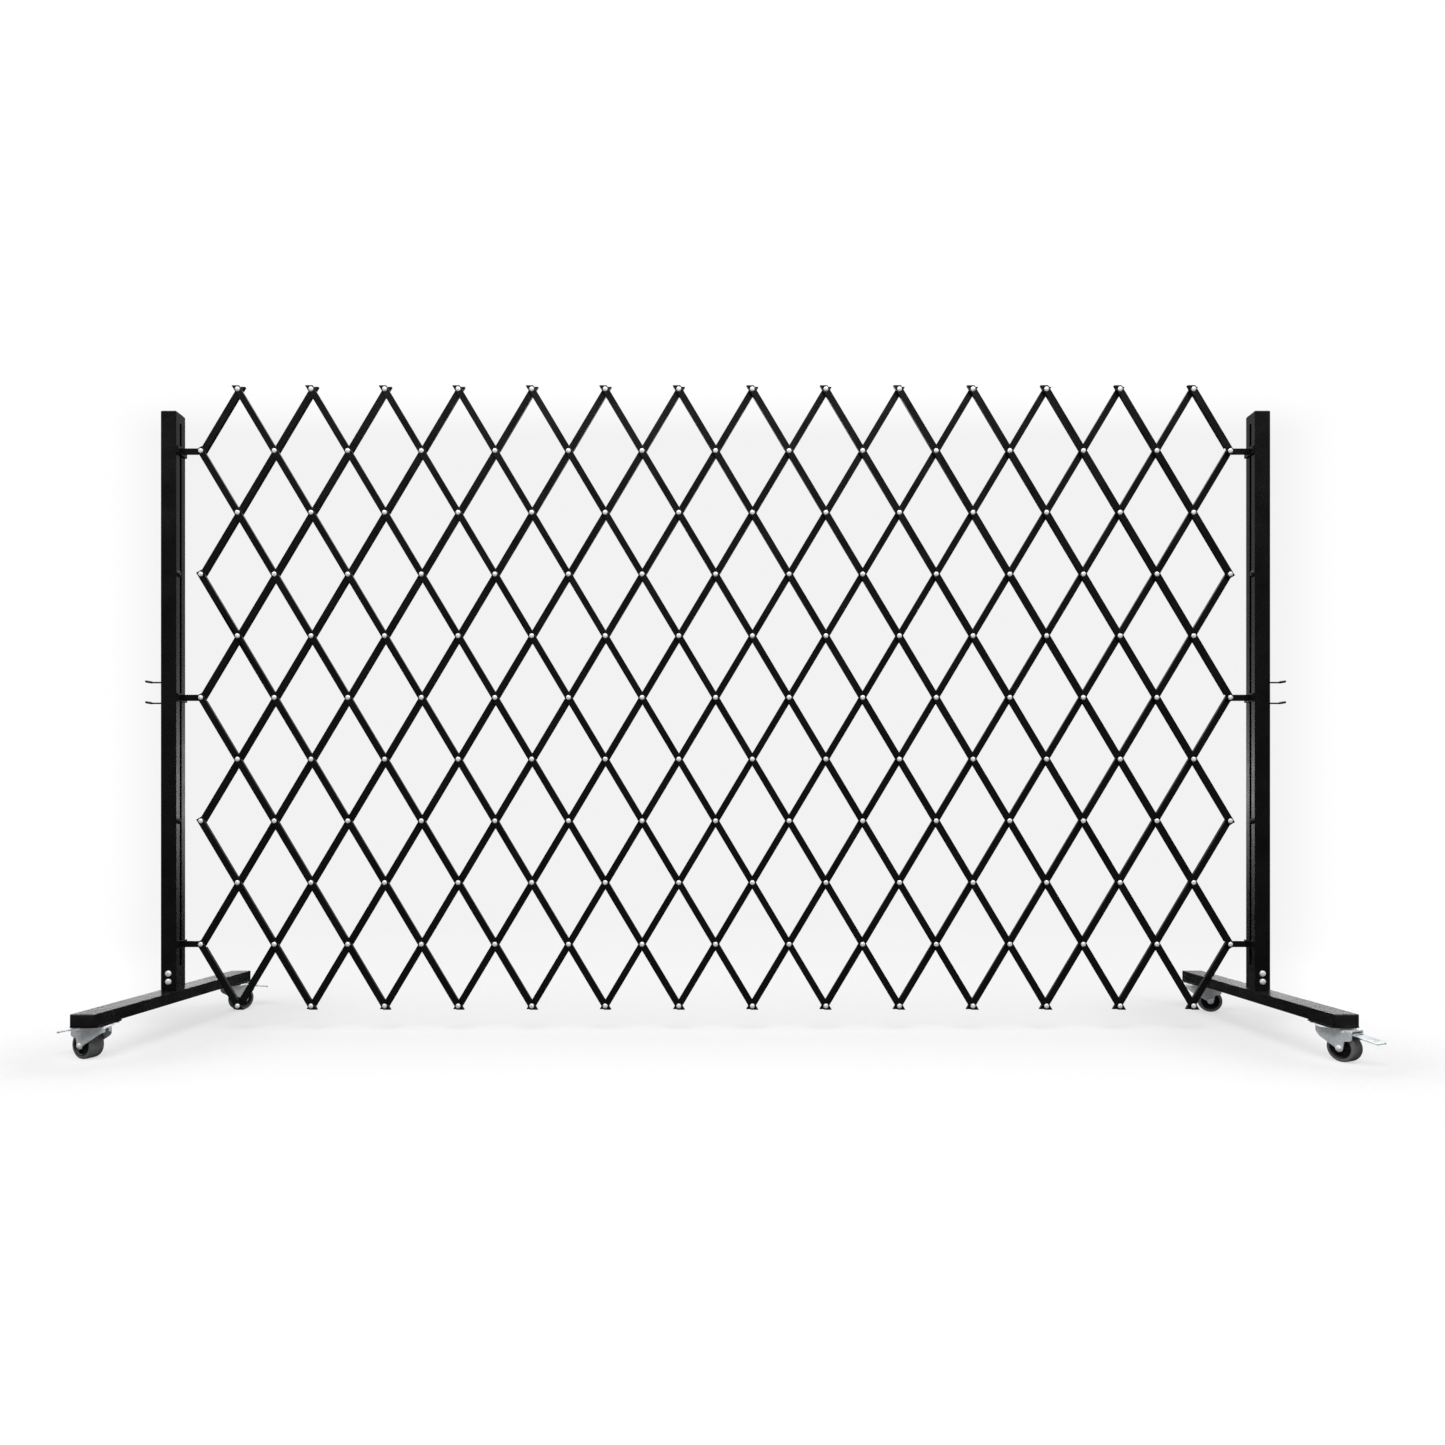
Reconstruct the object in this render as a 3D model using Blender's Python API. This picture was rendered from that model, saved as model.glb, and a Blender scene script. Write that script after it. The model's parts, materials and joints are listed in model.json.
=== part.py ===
"""Expandable safety barrier: a riveted scissor lattice held between two posts on wheeled feet.

Metres, +Z up. The floor is z = 0, the lattice lies about the plane y = 0 and faces -Y,
and x = 0 is midway between the posts.
"""

from math import cos, pi, radians, sin

import bmesh
import bpy
from mathutils import Matrix, Vector

# Lattice: half cells across and down, and the bars that cross in them
COLUMNS = 28
ROWS = 10
RIVET_PITCH = 0.1862
BAR_LEAN = radians(30.8)
LOWEST_ROW_HEIGHT = 0.0683
BAR_WIDTH = 0.017
BAR_DEPTH = 0.008
BAR_WALL = 0.0015
TIP_OVERRUN = 0.010
SIDE_OVERRUN = 0.009
COPE_LENGTH = 0.013
COPE_LIP = 0.0005
BRACKET_ROWS = (1, 5, 9)

# Clearance between faces that only touch, and the overrun of a cut past its wall
GAP = 0.0003
OVERRUN = 0.002
WELD_SINK = 0.0002

# Rivets
RIVET_SIDES = 6
RIVET_HEAD_RADIUS = 0.0060
RIVET_CROWN_RADIUS = 0.0034
RIVET_HEAD_HEIGHT = 0.0023
RIVET_SHANK_RADIUS = 0.0030
RIVET_TAIL = 0.0018
RUNNING_CLEARANCE = 0.0003

# Posts: square tube with a slot down the inner face
POST_SIDE = 0.040
POST_WALL = 0.002
POST_ABOVE_TOP_BRACKET = 0.0973
SLOT_WIDTH = 0.008
SLOT_TOP_MARGIN = 0.025
SLOT_FOOT_MARGIN = 0.062

# Brackets that carry the lattice's edge rivets
ARM_LENGTH = 0.056
ARM_HEIGHT = 0.016
ARM_THICKNESS = 0.003
EYE_BOSS_RADIUS = 0.0055
SHOE_HEIGHT = 0.020
SHOE_THICKNESS = 0.005
NECK_THICKNESS = SLOT_WIDTH - 2 * GAP
KEEPER_DEPTH = 0.022
KEEPER_THICKNESS = 0.006

# Link hooks on the posts' outer faces
HOOK_REACH = 0.052
HOOK_RADIUS = 0.0022
HOOK_TIP_RADIUS = 0.0034
HOOK_TIP_LENGTH = 0.020
HOOK_TIP_RISE = 0.003
UPPER_HOOK_RISE = 0.040
LOWER_HOOK_DROP = 0.014

# Feet: flat tube under each post, with a spigot inside the post
FOOT_WIDTH = 0.056
FOOT_HEIGHT = 0.028
FOOT_LENGTH = 0.680
FOOT_WALL = 0.002
FOOT_VENT_RADIUS = 0.005
SPIGOT_HEIGHT = 0.058
SPIGOT_WALL = 0.003
BOLT_HEIGHTS = (0.023, 0.044)
BOLT_SIDES = 8
BOLT_SHANK_RADIUS = 0.004
BOLT_HEAD_RADIUS = 0.0070
BOLT_CROWN_RADIUS = 0.0050
BOLT_HEAD_HEIGHT = 0.0035

# Casters
CASTER_INSET = 0.045
ROUND_SIDES = 16
WHEEL_SIDES = 20
WHEEL_RADIUS = 0.032
WHEEL_WIDTH = 0.034
TREAD_EDGE = 0.0035
TREAD_SHOULDER = 0.005
RIM_RADIUS = 0.023
RECESS_DEPTH = 0.004
HUB_RADIUS = 0.009
AXLE_RADIUS = 0.0035
AXLE_HEAD_RADIUS = 0.006
AXLE_HEAD_LENGTH = 0.0045
PLATE_LENGTH = 0.085
PLATE_WIDTH = 0.062
PLATE_THICKNESS = 0.003
RACE_RADIUS = 0.024
RACE_HEIGHT = 0.004
CROWN_RADIUS = 0.029
CROWN_THICKNESS = 0.003
KING_PIN_RADIUS = 0.0045
KING_HEAD_RADIUS = 0.0075
KING_HEAD_HEIGHT = 0.0025
KING_HEAD_CLEARANCE = 0.005
TRAIL = 0.026
LEG_THICKNESS = 0.0025
WHEEL_SIDE_CLEARANCE = 0.001
FORK_FRONT = 0.036
FORK_REAR = 0.054
AXLE_EYE_RADIUS = 0.0085
EYE_STEPS = 6
LEG_SHOULDER_DROP = 0.010
LEG_REAR_DROP = 0.024
LEG_WAIST_SHARES = ((0.30, 0.56), (0.86, 0.62))

# Brake pedals
PEDAL_PIVOT_AHEAD = 0.008
PEDAL_BARREL_RADIUS = 0.0036
PEDAL_BARREL_CLEARANCE = 0.0010
PEDAL_PIN_RADIUS = 0.0025
PEDAL_PIN_PROUD = 0.0015
PEDAL_REACH = 0.105
PEDAL_DROP = 0.0115
PEDAL_THICKNESS = 0.0024
PEDAL_PAD_LENGTH = 0.038
PEDAL_PAD_WIDTH = 0.040
SHOE_START = 0.011
SHOE_LENGTH = 0.006
SHOE_DROP = 0.0070

# Where each caster points at rest, as the turn of its trail from +X
CASTER_TURNS = {
    ("left", "front"): radians(160),
    ("left", "rear"): radians(66),
    ("right", "front"): radians(-66),
    ("right", "rear"): radians(-20),
}

# Finishes
BLACK_COAT = ((0.008, 0.008, 0.008, 1.0), 0.42, 0.0)
ZINC = ((0.42, 0.46, 0.48, 1.0), 0.35, 1.0)
BLACK_RUBBER = ((0.02, 0.02, 0.02, 1.0), 0.6, 0.0)

# Sizes that follow from the ones above
HALF_CELL_WIDTH = RIVET_PITCH * sin(BAR_LEAN)
HALF_CELL_HEIGHT = RIVET_PITCH * cos(BAR_LEAN)
MIDDLE_ROW_HEIGHT = LOWEST_ROW_HEIGHT + HALF_CELL_HEIGHT * ROWS / 2
BAR_TURN = pi / 2 - BAR_LEAN
LATTICE_HALF = COLUMNS * HALF_CELL_WIDTH / 2
POST_INNER = LATTICE_HALF + ARM_LENGTH
POST_CENTRE = POST_INNER + POST_SIDE / 2
POST_OUTER = POST_INNER + POST_SIDE
REAR_WEB = GAP / 2
FRONT_WEB = -REAR_WEB - BAR_DEPTH
HOLE_RADIUS = (RIVET_SHANK_RADIUS + RUNNING_CLEARANCE) / cos(pi / RIVET_SIDES)
POST_TOP = LOWEST_ROW_HEIGHT + HALF_CELL_HEIGHT * (ROWS - BRACKET_ROWS[0]) + POST_ABOVE_TOP_BRACKET
UPPER_HOOK_HEIGHT = MIDDLE_ROW_HEIGHT + UPPER_HOOK_RISE
LOWER_HOOK_HEIGHT = MIDDLE_ROW_HEIGHT - LOWER_HOOK_DROP
WHEEL_TOP = 2 * WHEEL_RADIUS
KING_HEAD_BOTTOM = WHEEL_TOP + KING_HEAD_CLEARANCE
CROWN_BOTTOM = KING_HEAD_BOTTOM + KING_HEAD_HEIGHT + GAP
CROWN_TOP = CROWN_BOTTOM + CROWN_THICKNESS
RACE_BOTTOM = CROWN_TOP + GAP
PLATE_BOTTOM = RACE_BOTTOM + RACE_HEIGHT
FOOT_BOTTOM = PLATE_BOTTOM + PLATE_THICKNESS
FOOT_TOP = FOOT_BOTTOM + FOOT_HEIGHT
POST_BOTTOM = FOOT_TOP + GAP
SLOT_TOP = POST_TOP - SLOT_TOP_MARGIN
SLOT_BOTTOM = FOOT_TOP + SLOT_FOOT_MARGIN
SPIGOT_HALF = POST_SIDE / 2 - POST_WALL - GAP
LEG_INNER = WHEEL_WIDTH / 2 + WHEEL_SIDE_CLEARANCE
LEG_OUTER = LEG_INNER + LEG_THICKNESS
PEDAL_PIVOT_X = TRAIL + PEDAL_PIVOT_AHEAD
PEDAL_PIVOT_Z = WHEEL_TOP + PEDAL_BARREL_RADIUS + PEDAL_BARREL_CLEARANCE
SIDES = {"left": -1, "right": 1}
ENDS = {"front": -1, "rear": 1}


def clear_scene():
    for old in list(bpy.data.objects):
        bpy.data.objects.remove(old, do_unlink=True)


def finish_of(name, finish):
    color, roughness, metallic = finish
    material = bpy.data.materials.new(name)
    material.use_nodes = True
    shader = material.node_tree.nodes["Principled BSDF"]
    shader.inputs["Base Color"].default_value = color
    shader.inputs["Roughness"].default_value = roughness
    shader.inputs["Metallic"].default_value = metallic
    return material


def add_object(name, shape, finish=None):
    """A named object with this bmesh as its shape. The bmesh is freed."""
    bmesh.ops.recalc_face_normals(shape, faces=shape.faces)
    mesh = bpy.data.meshes.new(name)
    shape.to_mesh(mesh)
    shape.free()
    solid = bpy.data.objects.new(name, mesh)
    bpy.context.scene.collection.objects.link(solid)
    if finish:
        mesh.materials.append(finish_of(name, finish))
    return solid


def add_box(shape, low, high):
    """A box between two corners, given in any order."""
    low, high = Vector(low), Vector(high)
    middle = Matrix.Translation((low + high) / 2)
    size = Matrix.Diagonal((*[abs(edge) for edge in high - low], 1))
    bmesh.ops.create_cube(shape, size=1, matrix=middle @ size)


def add_turned(shape, profile, sides, place):
    """A closed solid turned about its own Z axis from (radius, height) points, lowest first."""
    rings = []
    for radius, height in profile:
        ring = []
        for step in range(sides):
            turn = 2 * pi * (step + 0.5) / sides
            point = Vector((radius * cos(turn), radius * sin(turn), height))
            ring.append(shape.verts.new(place @ point))
        rings.append(ring)
    for lower, upper in zip(rings, rings[1:]):
        for step in range(sides):
            after = (step + 1) % sides
            shape.faces.new((lower[step], lower[after], upper[after], upper[step]))
    shape.faces.new(rings[0][::-1])
    shape.faces.new(rings[-1])


def add_ring(shape, profile, sides, place):
    """A ring turned about its own Z axis from a closed loop of (radius, height) points."""
    loops = []
    for step in range(sides):
        turn = 2 * pi * (step + 0.5) / sides
        loop = []
        for radius, height in profile:
            point = Vector((radius * cos(turn), radius * sin(turn), height))
            loop.append(shape.verts.new(place @ point))
        loops.append(loop)
    for step in range(sides):
        here, there = loops[step], loops[(step + 1) % sides]
        for index in range(len(profile)):
            after = (index + 1) % len(profile)
            shape.faces.new((here[index], there[index], there[after], here[after]))


def add_slab(shape, outline, low, high):
    """An outline of (x, z) points, extruded along Y from low to high."""
    points = [shape.verts.new((x, low, z)) for x, z in outline]
    face = shape.faces.new(points)
    grown = bmesh.ops.extrude_face_region(shape, geom=[face])
    moved = [part for part in grown["geom"] if isinstance(part, bmesh.types.BMVert)]
    bmesh.ops.translate(shape, vec=(0, high - low, 0), verts=moved)


def arc(centre, radius, start, end, steps):
    """Points on an arc in the XZ plane, from one angle to another."""
    points = []
    for step in range(steps + 1):
        turn = start + (end - start) * step / steps
        points.append((centre[0] + radius * cos(turn), centre[1] + radius * sin(turn)))
    return points


def combine(solid, tool_shapes, operation):
    """Joins each bmesh to the solid, or cuts it away, in turn."""
    for tool_shape in tool_shapes:
        tool = add_object("tool", tool_shape)
        boolean = solid.modifiers.new("combine", "BOOLEAN")
        boolean.operation = operation
        boolean.object = tool
        graph = bpy.context.evaluated_depsgraph_get()
        result = bpy.data.meshes.new_from_object(solid.evaluated_get(graph))
        solid.modifiers.clear()
        old = solid.data
        solid.data = result
        bpy.data.meshes.remove(old)
        bpy.data.objects.remove(tool, do_unlink=True)


def join(solid, *tool_shapes):
    combine(solid, tool_shapes, "UNION")


def cut(solid, *tool_shapes):
    combine(solid, tool_shapes, "DIFFERENCE")


def boxes(*corner_pairs):
    shape = bmesh.new()
    for low, high in corner_pairs:
        add_box(shape, low, high)
    return shape


def turned(profile, sides, place):
    shape = bmesh.new()
    add_turned(shape, profile, sides, place)
    return shape


ALONG_Y = Matrix.Rotation(-pi / 2, 4, "X")
ALONG_X = Matrix.Rotation(pi / 2, 4, "Y")


def place_origin(solid, origin):
    """Moves the object's origin to a point and leaves its shape where it is."""
    solid.data.transform(Matrix.Translation(-Vector(origin)))
    solid.location = origin


# Lattice layout


def crossing(column, row):
    """The rivet point of a lattice crossing, counted from the left and from the top."""
    x = column * HALF_CELL_WIDTH - LATTICE_HALF
    z = MIDDLE_ROW_HEIGHT + (ROWS / 2 - row) * HALF_CELL_HEIGHT
    return Vector((x, 0, z))


def lattice_bars():
    """Each bar's name and its crossings from left to right. Front bars fall and rear bars rise."""
    bars = {}
    for number, offset in enumerate(range(1 - ROWS, COLUMNS, 2), start=1):
        spots = [(column, column - offset) for column in range(COLUMNS + 1)]
        bars[f"front_bar_{number:02d}"] = [spot for spot in spots if 0 <= spot[1] <= ROWS]
    for number, total in enumerate(range(1, COLUMNS + ROWS, 2), start=1):
        spots = [(column, total - column) for column in range(COLUMNS + 1)]
        bars[f"rear_bar_{number:02d}"] = [spot for spot in spots if 0 <= spot[1] <= ROWS]
    return bars


def pivots(bars):
    """The crossing each bar turns on, found outwards from the left middle bracket."""
    middle = (0, ROWS // 2)
    first = next(name for name in bars if middle in bars[name])
    found = {first: middle}
    waiting = [first]
    while waiting:
        holder = waiting.pop(0)
        for spot in bars[holder]:
            for name, spots in bars.items():
                if name not in found and spot in spots:
                    found[name] = spot
                    waiting.append(name)
    return found


def channel(web, ends, length):
    """A U channel along X with its web's face at this depth, open to the back, with its end cuts."""
    inside, back = web + BAR_WALL, web + BAR_DEPTH
    edge, wall = BAR_WIDTH / 2, BAR_WIDTH / 2 - BAR_WALL
    section = [(web, -edge), (web, edge), (back, edge), (back, wall)]
    section += [(inside, wall), (inside, -wall), (back, -wall), (back, -edge)]
    shape = bmesh.new()
    points = [shape.verts.new((0, y, z)) for y, z in section]
    face = shape.faces.new(points)
    grown = bmesh.ops.extrude_face_region(shape, geom=[face])
    far = [part for part in grown["geom"] if isinstance(part, bmesh.types.BMVert)]
    start_cut, end_cut = ends
    for point in points:
        point.co.x = start_cut(point.co.z)
    for point in far:
        point.co.x = length + end_cut(point.co.z)
    return shape


def end_cut(front, at_start, row):
    """How far a bar runs past its last rivet, for a point this far across the bar."""
    slope = 1 if front else -1
    if row in (0, ROWS):
        level = 1 if row == 0 else -1
        return lambda across: (cos(BAR_TURN) * across * slope - level * TIP_OVERRUN * slope) / sin(BAR_TURN)
    reach = -SIDE_OVERRUN if at_start else SIDE_OVERRUN
    return lambda across: reach


def rivet_shape(spots_x):
    """Domed head on the front bar's web, and a shank that runs back through the rear bar's web."""
    shape = bmesh.new()
    seat = FRONT_WEB + BAR_WALL / 2
    profile = [
        (RIVET_CROWN_RADIUS, FRONT_WEB - RIVET_HEAD_HEIGHT),
        (RIVET_HEAD_RADIUS, seat),
        (RIVET_SHANK_RADIUS, seat),
        (RIVET_SHANK_RADIUS, REAR_WEB + BAR_WALL + RIVET_TAIL),
    ]
    for x in spots_x:
        add_turned(shape, profile, RIVET_SIDES, Matrix.Translation((x, 0, 0)) @ ALONG_Y)
    return shape


def hole_shape(spots_x):
    shape = bmesh.new()
    profile = [(HOLE_RADIUS, REAR_WEB - OVERRUN), (HOLE_RADIUS, REAR_WEB + BAR_WALL + OVERRUN)]
    for x in spots_x:
        add_turned(shape, profile, RIVET_SIDES, Matrix.Translation((x, 0, 0)) @ ALONG_Y)
    return shape


def cope_shape(x, inward):
    """The flanges cut away beside an edge rivet, so that the bracket's arm fits behind the web."""
    across = BAR_WIDTH / 2 + OVERRUN
    low = (x - inward * (SIDE_OVERRUN + OVERRUN), FRONT_WEB + BAR_WALL + COPE_LIP, -across)
    return boxes((low, (x + inward * COPE_LENGTH, OVERRUN, across)))


def build_bar(name, spots, pivot):
    front = name.startswith("front")
    length = (len(spots) - 1) * RIVET_PITCH
    spots_x = [index * RIVET_PITCH for index in range(len(spots))]
    ends = end_cut(front, True, spots[0][1]), end_cut(front, False, spots[-1][1])
    bar = add_object(name, channel(FRONT_WEB if front else REAR_WEB, ends, length), BLACK_COAT)
    if front:
        for index, inward, column in ((0, 1, 0), (-1, -1, COLUMNS)):
            if spots[index][0] == column and spots[index][1] in BRACKET_ROWS:
                cut(bar, cope_shape(spots_x[index], inward))
        join(bar, rivet_shape(spots_x))
    else:
        cut(bar, hole_shape(spots_x))
    bar.data.transform(Matrix.Translation((-spots_x[spots.index(pivot)], 0, 0)))
    bar.rotation_euler.y = BAR_TURN if front else -BAR_TURN
    bar.location = crossing(*pivot)


# Posts and feet


def bolt_profile(start):
    """A button-headed bolt, from its root inside the spigot out to its crown."""
    seat = POST_SIDE / 2 + GAP
    return [
        (BOLT_SHANK_RADIUS, start),
        (BOLT_SHANK_RADIUS, seat),
        (BOLT_HEAD_RADIUS, seat),
        (BOLT_HEAD_RADIUS, seat + BOLT_HEAD_HEIGHT / 3),
        (BOLT_CROWN_RADIUS, seat + BOLT_HEAD_HEIGHT),
    ]


def facing_front(x, z):
    """Turns a turned shape's axis to -Y, at this place."""
    return Matrix.Translation((x, 0, z)) @ Matrix.Rotation(pi / 2, 4, "X")


def build_post(side_name, side):
    half = POST_SIDE / 2
    inner_half = half - POST_WALL
    centre = side * POST_CENTRE
    post = add_object(
        f"{side_name}_post",
        boxes(((centre - half, -half, POST_BOTTOM), (centre + half, half, POST_TOP))),
        BLACK_COAT,
    )
    hollow_top = POST_TOP - POST_WALL
    hollow = (centre - inner_half, -inner_half, POST_BOTTOM - OVERRUN), (centre + inner_half, inner_half, hollow_top)
    slot_half = SLOT_WIDTH / 2
    face = side * POST_INNER
    slot = (face - side * OVERRUN, -slot_half, SLOT_BOTTOM), (face + side * 2 * POST_WALL, slot_half, SLOT_TOP)
    cut(post, boxes(hollow), boxes(slot))
    hole = BOLT_SHANK_RADIUS + RUNNING_CLEARANCE
    bolt_holes = bmesh.new()
    for height in BOLT_HEIGHTS:
        profile = [(hole, inner_half - OVERRUN), (hole, half + OVERRUN)]
        add_turned(bolt_holes, profile, BOLT_SIDES, facing_front(centre, FOOT_TOP + height))
    hook_holes = bmesh.new()
    hook_hole = HOOK_RADIUS + RUNNING_CLEARANCE
    for height in (UPPER_HOOK_HEIGHT, LOWER_HOOK_HEIGHT):
        profile = [(hook_hole, POST_OUTER - POST_WALL - OVERRUN), (hook_hole, POST_OUTER + OVERRUN)]
        place = Matrix.Translation((0, 0, height)) @ Matrix.Rotation(side * pi / 2, 4, "Y")
        add_turned(hook_holes, profile, BOLT_SIDES, place)
    cut(post, bolt_holes, hook_holes)
    place_origin(post, (centre, 0, POST_BOTTOM))


def king_pin_shape(x, y):
    """Bearing race under the plate, and the pin and head that hold the fork's crown."""
    profile = [
        (KING_HEAD_RADIUS, KING_HEAD_BOTTOM),
        (KING_HEAD_RADIUS, KING_HEAD_BOTTOM + KING_HEAD_HEIGHT),
        (KING_PIN_RADIUS, KING_HEAD_BOTTOM + KING_HEAD_HEIGHT),
        (KING_PIN_RADIUS, RACE_BOTTOM),
        (RACE_RADIUS, RACE_BOTTOM),
        (RACE_RADIUS, PLATE_BOTTOM + PLATE_THICKNESS / 2),
    ]
    return turned(profile, ROUND_SIDES, Matrix.Translation((x, y, 0)))


def caster_spot(side, end):
    return side * POST_CENTRE, end * (FOOT_LENGTH / 2 - CASTER_INSET)


def build_foot(side_name, side):
    centre = side * POST_CENTRE
    half_width, half_length = FOOT_WIDTH / 2, FOOT_LENGTH / 2
    tube = (centre - half_width, -half_length, FOOT_BOTTOM), (centre + half_width, half_length, FOOT_TOP)
    foot = add_object(f"{side_name}_foot", boxes(tube), BLACK_COAT)
    low = (centre - half_width + FOOT_WALL, -half_length + FOOT_WALL, FOOT_BOTTOM + FOOT_WALL)
    high = (centre + half_width - FOOT_WALL, half_length - FOOT_WALL, FOOT_TOP - FOOT_WALL)
    vent = [(FOOT_VENT_RADIUS, FOOT_BOTTOM - OVERRUN), (FOOT_VENT_RADIUS, FOOT_BOTTOM + FOOT_WALL + OVERRUN)]
    cut(foot, boxes((low, high)), turned(vent, BOLT_SIDES, Matrix.Translation((centre, 0, 0))))
    for end in ENDS.values():
        x, y = caster_spot(side, end)
        half_plate = PLATE_WIDTH / 2, PLATE_LENGTH / 2
        plate_low = (x - half_plate[0], y - half_plate[1], PLATE_BOTTOM)
        plate_high = (x + half_plate[0], y + half_plate[1], FOOT_BOTTOM + WELD_SINK)
        join(foot, boxes((plate_low, plate_high)), king_pin_shape(x, y))
    spigot_top = FOOT_TOP + SPIGOT_HEIGHT
    outer = (centre - SPIGOT_HALF, -SPIGOT_HALF, FOOT_TOP - WELD_SINK), (centre + SPIGOT_HALF, SPIGOT_HALF, spigot_top)
    bore_half = SPIGOT_HALF - SPIGOT_WALL
    bore = (centre - bore_half, -bore_half, FOOT_TOP + SPIGOT_WALL), (centre + bore_half, bore_half, spigot_top + OVERRUN)
    join(foot, boxes(outer))
    cut(foot, boxes(bore))
    bolts = bmesh.new()
    for height in BOLT_HEIGHTS:
        start = SPIGOT_HALF - SPIGOT_WALL / 2
        add_turned(bolts, bolt_profile(start), BOLT_SIDES, facing_front(centre, FOOT_TOP + height))
    join(foot, bolts)
    place_origin(foot, (centre, 0, FOOT_BOTTOM))


# Brackets


def bracket_body(name, side, height):
    """Arm with its eye and boss, shoe on the post's face, neck through the slot and keeper inside."""
    rivet_x, face = side * LATTICE_HALF, side * POST_INNER
    half = ARM_HEIGHT / 2
    start, end = (pi / 2, 3 * pi / 2) if side > 0 else (-pi / 2, pi / 2)
    outline = arc((rivet_x, height), half, start, end, EYE_STEPS)
    shoe_outer = face - side * (SHOE_THICKNESS + GAP)
    arm_end = shoe_outer + side * SHOE_THICKNESS / 2
    outline += [(arm_end, height - side * half), (arm_end, height + side * half)]
    shape = bmesh.new()
    back = -REAR_WEB
    add_slab(shape, outline, back - ARM_THICKNESS, back)
    bracket = add_object(name, shape, BLACK_COAT)
    boss_face, boss_root = FRONT_WEB + BAR_WALL + GAP, back - ARM_THICKNESS / 2
    eye = Matrix.Translation((rivet_x, 0, height)) @ ALONG_Y
    join(bracket, turned([(EYE_BOSS_RADIUS, boss_face), (EYE_BOSS_RADIUS, boss_root)], BOLT_SIDES, eye))
    bore = (RIVET_SHANK_RADIUS + RUNNING_CLEARANCE) / cos(pi / BOLT_SIDES)
    cut(bracket, turned([(bore, boss_face - OVERRUN), (bore, back + OVERRUN)], BOLT_SIDES, eye))
    half_shoe = POST_SIDE / 2, SHOE_HEIGHT / 2
    shoe = (shoe_outer, -half_shoe[0], height - half_shoe[1]), (face - side * GAP, half_shoe[0], height + half_shoe[1])
    wall_inside = face + side * (POST_WALL + GAP)
    neck_end = wall_inside + side * KEEPER_THICKNESS / 2
    half_neck = NECK_THICKNESS / 2
    neck = (arm_end, -half_neck, height - half), (neck_end, half_neck, height + half)
    keeper_half = KEEPER_DEPTH / 2
    keeper_low = (wall_inside, -keeper_half, height - half)
    keeper_high = (wall_inside + side * KEEPER_THICKNESS, keeper_half, height + half + WELD_SINK)
    join(bracket, boxes(shoe), boxes(neck), boxes((keeper_low, keeper_high)))
    return bracket


def hook_shape(side, height):
    """A round prong along X, with a thicker tip that rises a little."""
    place = Matrix.Translation((0, 0, height)) @ Matrix.Rotation(side * pi / 2, 4, "Y")
    shape = bmesh.new()
    tip_start = POST_OUTER + HOOK_REACH - HOOK_TIP_LENGTH
    root = POST_OUTER - POST_WALL - KEEPER_THICKNESS / 2
    profile = [
        (HOOK_RADIUS, root),
        (HOOK_RADIUS, tip_start),
        (HOOK_TIP_RADIUS, tip_start + HOOK_TIP_LENGTH / 4),
        (HOOK_TIP_RADIUS, POST_OUTER + HOOK_REACH - HOOK_RADIUS),
        (HOOK_RADIUS, POST_OUTER + HOOK_REACH),
    ]
    add_turned(shape, profile, BOLT_SIDES, place)
    for point in shape.verts:
        beyond = max(abs(point.co.x) - tip_start, 0)
        point.co.z += HOOK_TIP_RISE * beyond / HOOK_TIP_LENGTH
    return shape


def build_middle_bracket(side_name, side):
    bracket = bracket_body(f"{side_name}_middle_bracket", side, MIDDLE_ROW_HEIGHT)
    near = side * (POST_INNER + POST_WALL + GAP + KEEPER_THICKNESS / 2)
    far = side * (POST_OUTER - POST_WALL - GAP)
    half = ARM_THICKNESS / 2
    low = LOWER_HOOK_HEIGHT - 2 * HOOK_TIP_RADIUS
    high = UPPER_HOOK_HEIGHT + 2 * HOOK_TIP_RADIUS
    join(bracket, boxes(((near, -half, low), (far, half, high))))
    join(bracket, hook_shape(side, UPPER_HOOK_HEIGHT), hook_shape(side, LOWER_HOOK_HEIGHT))
    place_origin(bracket, (side * LATTICE_HALF, 0, MIDDLE_ROW_HEIGHT))


def build_slide_bracket(side_name, side, row, level):
    spot = crossing(0 if side < 0 else COLUMNS, row)
    bracket = bracket_body(f"{side_name}_{level}_slide_bracket", side, spot.z)
    place_origin(bracket, spot)


# Casters, modelled about the king pin with the trail along +X


def leg_outline():
    """One fork leg seen from the side: broad under the crown, tapering to the axle's eye."""
    axle = (TRAIL, WHEEL_RADIUS)
    waist_drop = CROWN_TOP - WHEEL_RADIUS
    front_share, rear_share = LEG_WAIST_SHARES
    front_waist = (-FORK_FRONT + front_share[0] * (FORK_FRONT + TRAIL), CROWN_TOP - front_share[1] * waist_drop)
    rear_x = TRAIL + AXLE_EYE_RADIUS
    rear_waist = (rear_x + (1 - rear_share[0]) * (FORK_REAR - rear_x), CROWN_TOP - rear_share[1] * waist_drop)
    outline = [(-FORK_FRONT, CROWN_TOP), (-FORK_FRONT, CROWN_TOP - LEG_SHOULDER_DROP), front_waist]
    outline += arc(axle, AXLE_EYE_RADIUS, pi, 2 * pi, EYE_STEPS)
    outline += [rear_waist, (FORK_REAR, CROWN_TOP - LEG_REAR_DROP), (FORK_REAR, CROWN_TOP)]
    return outline


def across(x, z):
    """Turns a turned shape's axis to Y, at this place."""
    return Matrix.Translation((x, 0, z)) @ ALONG_Y


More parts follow.
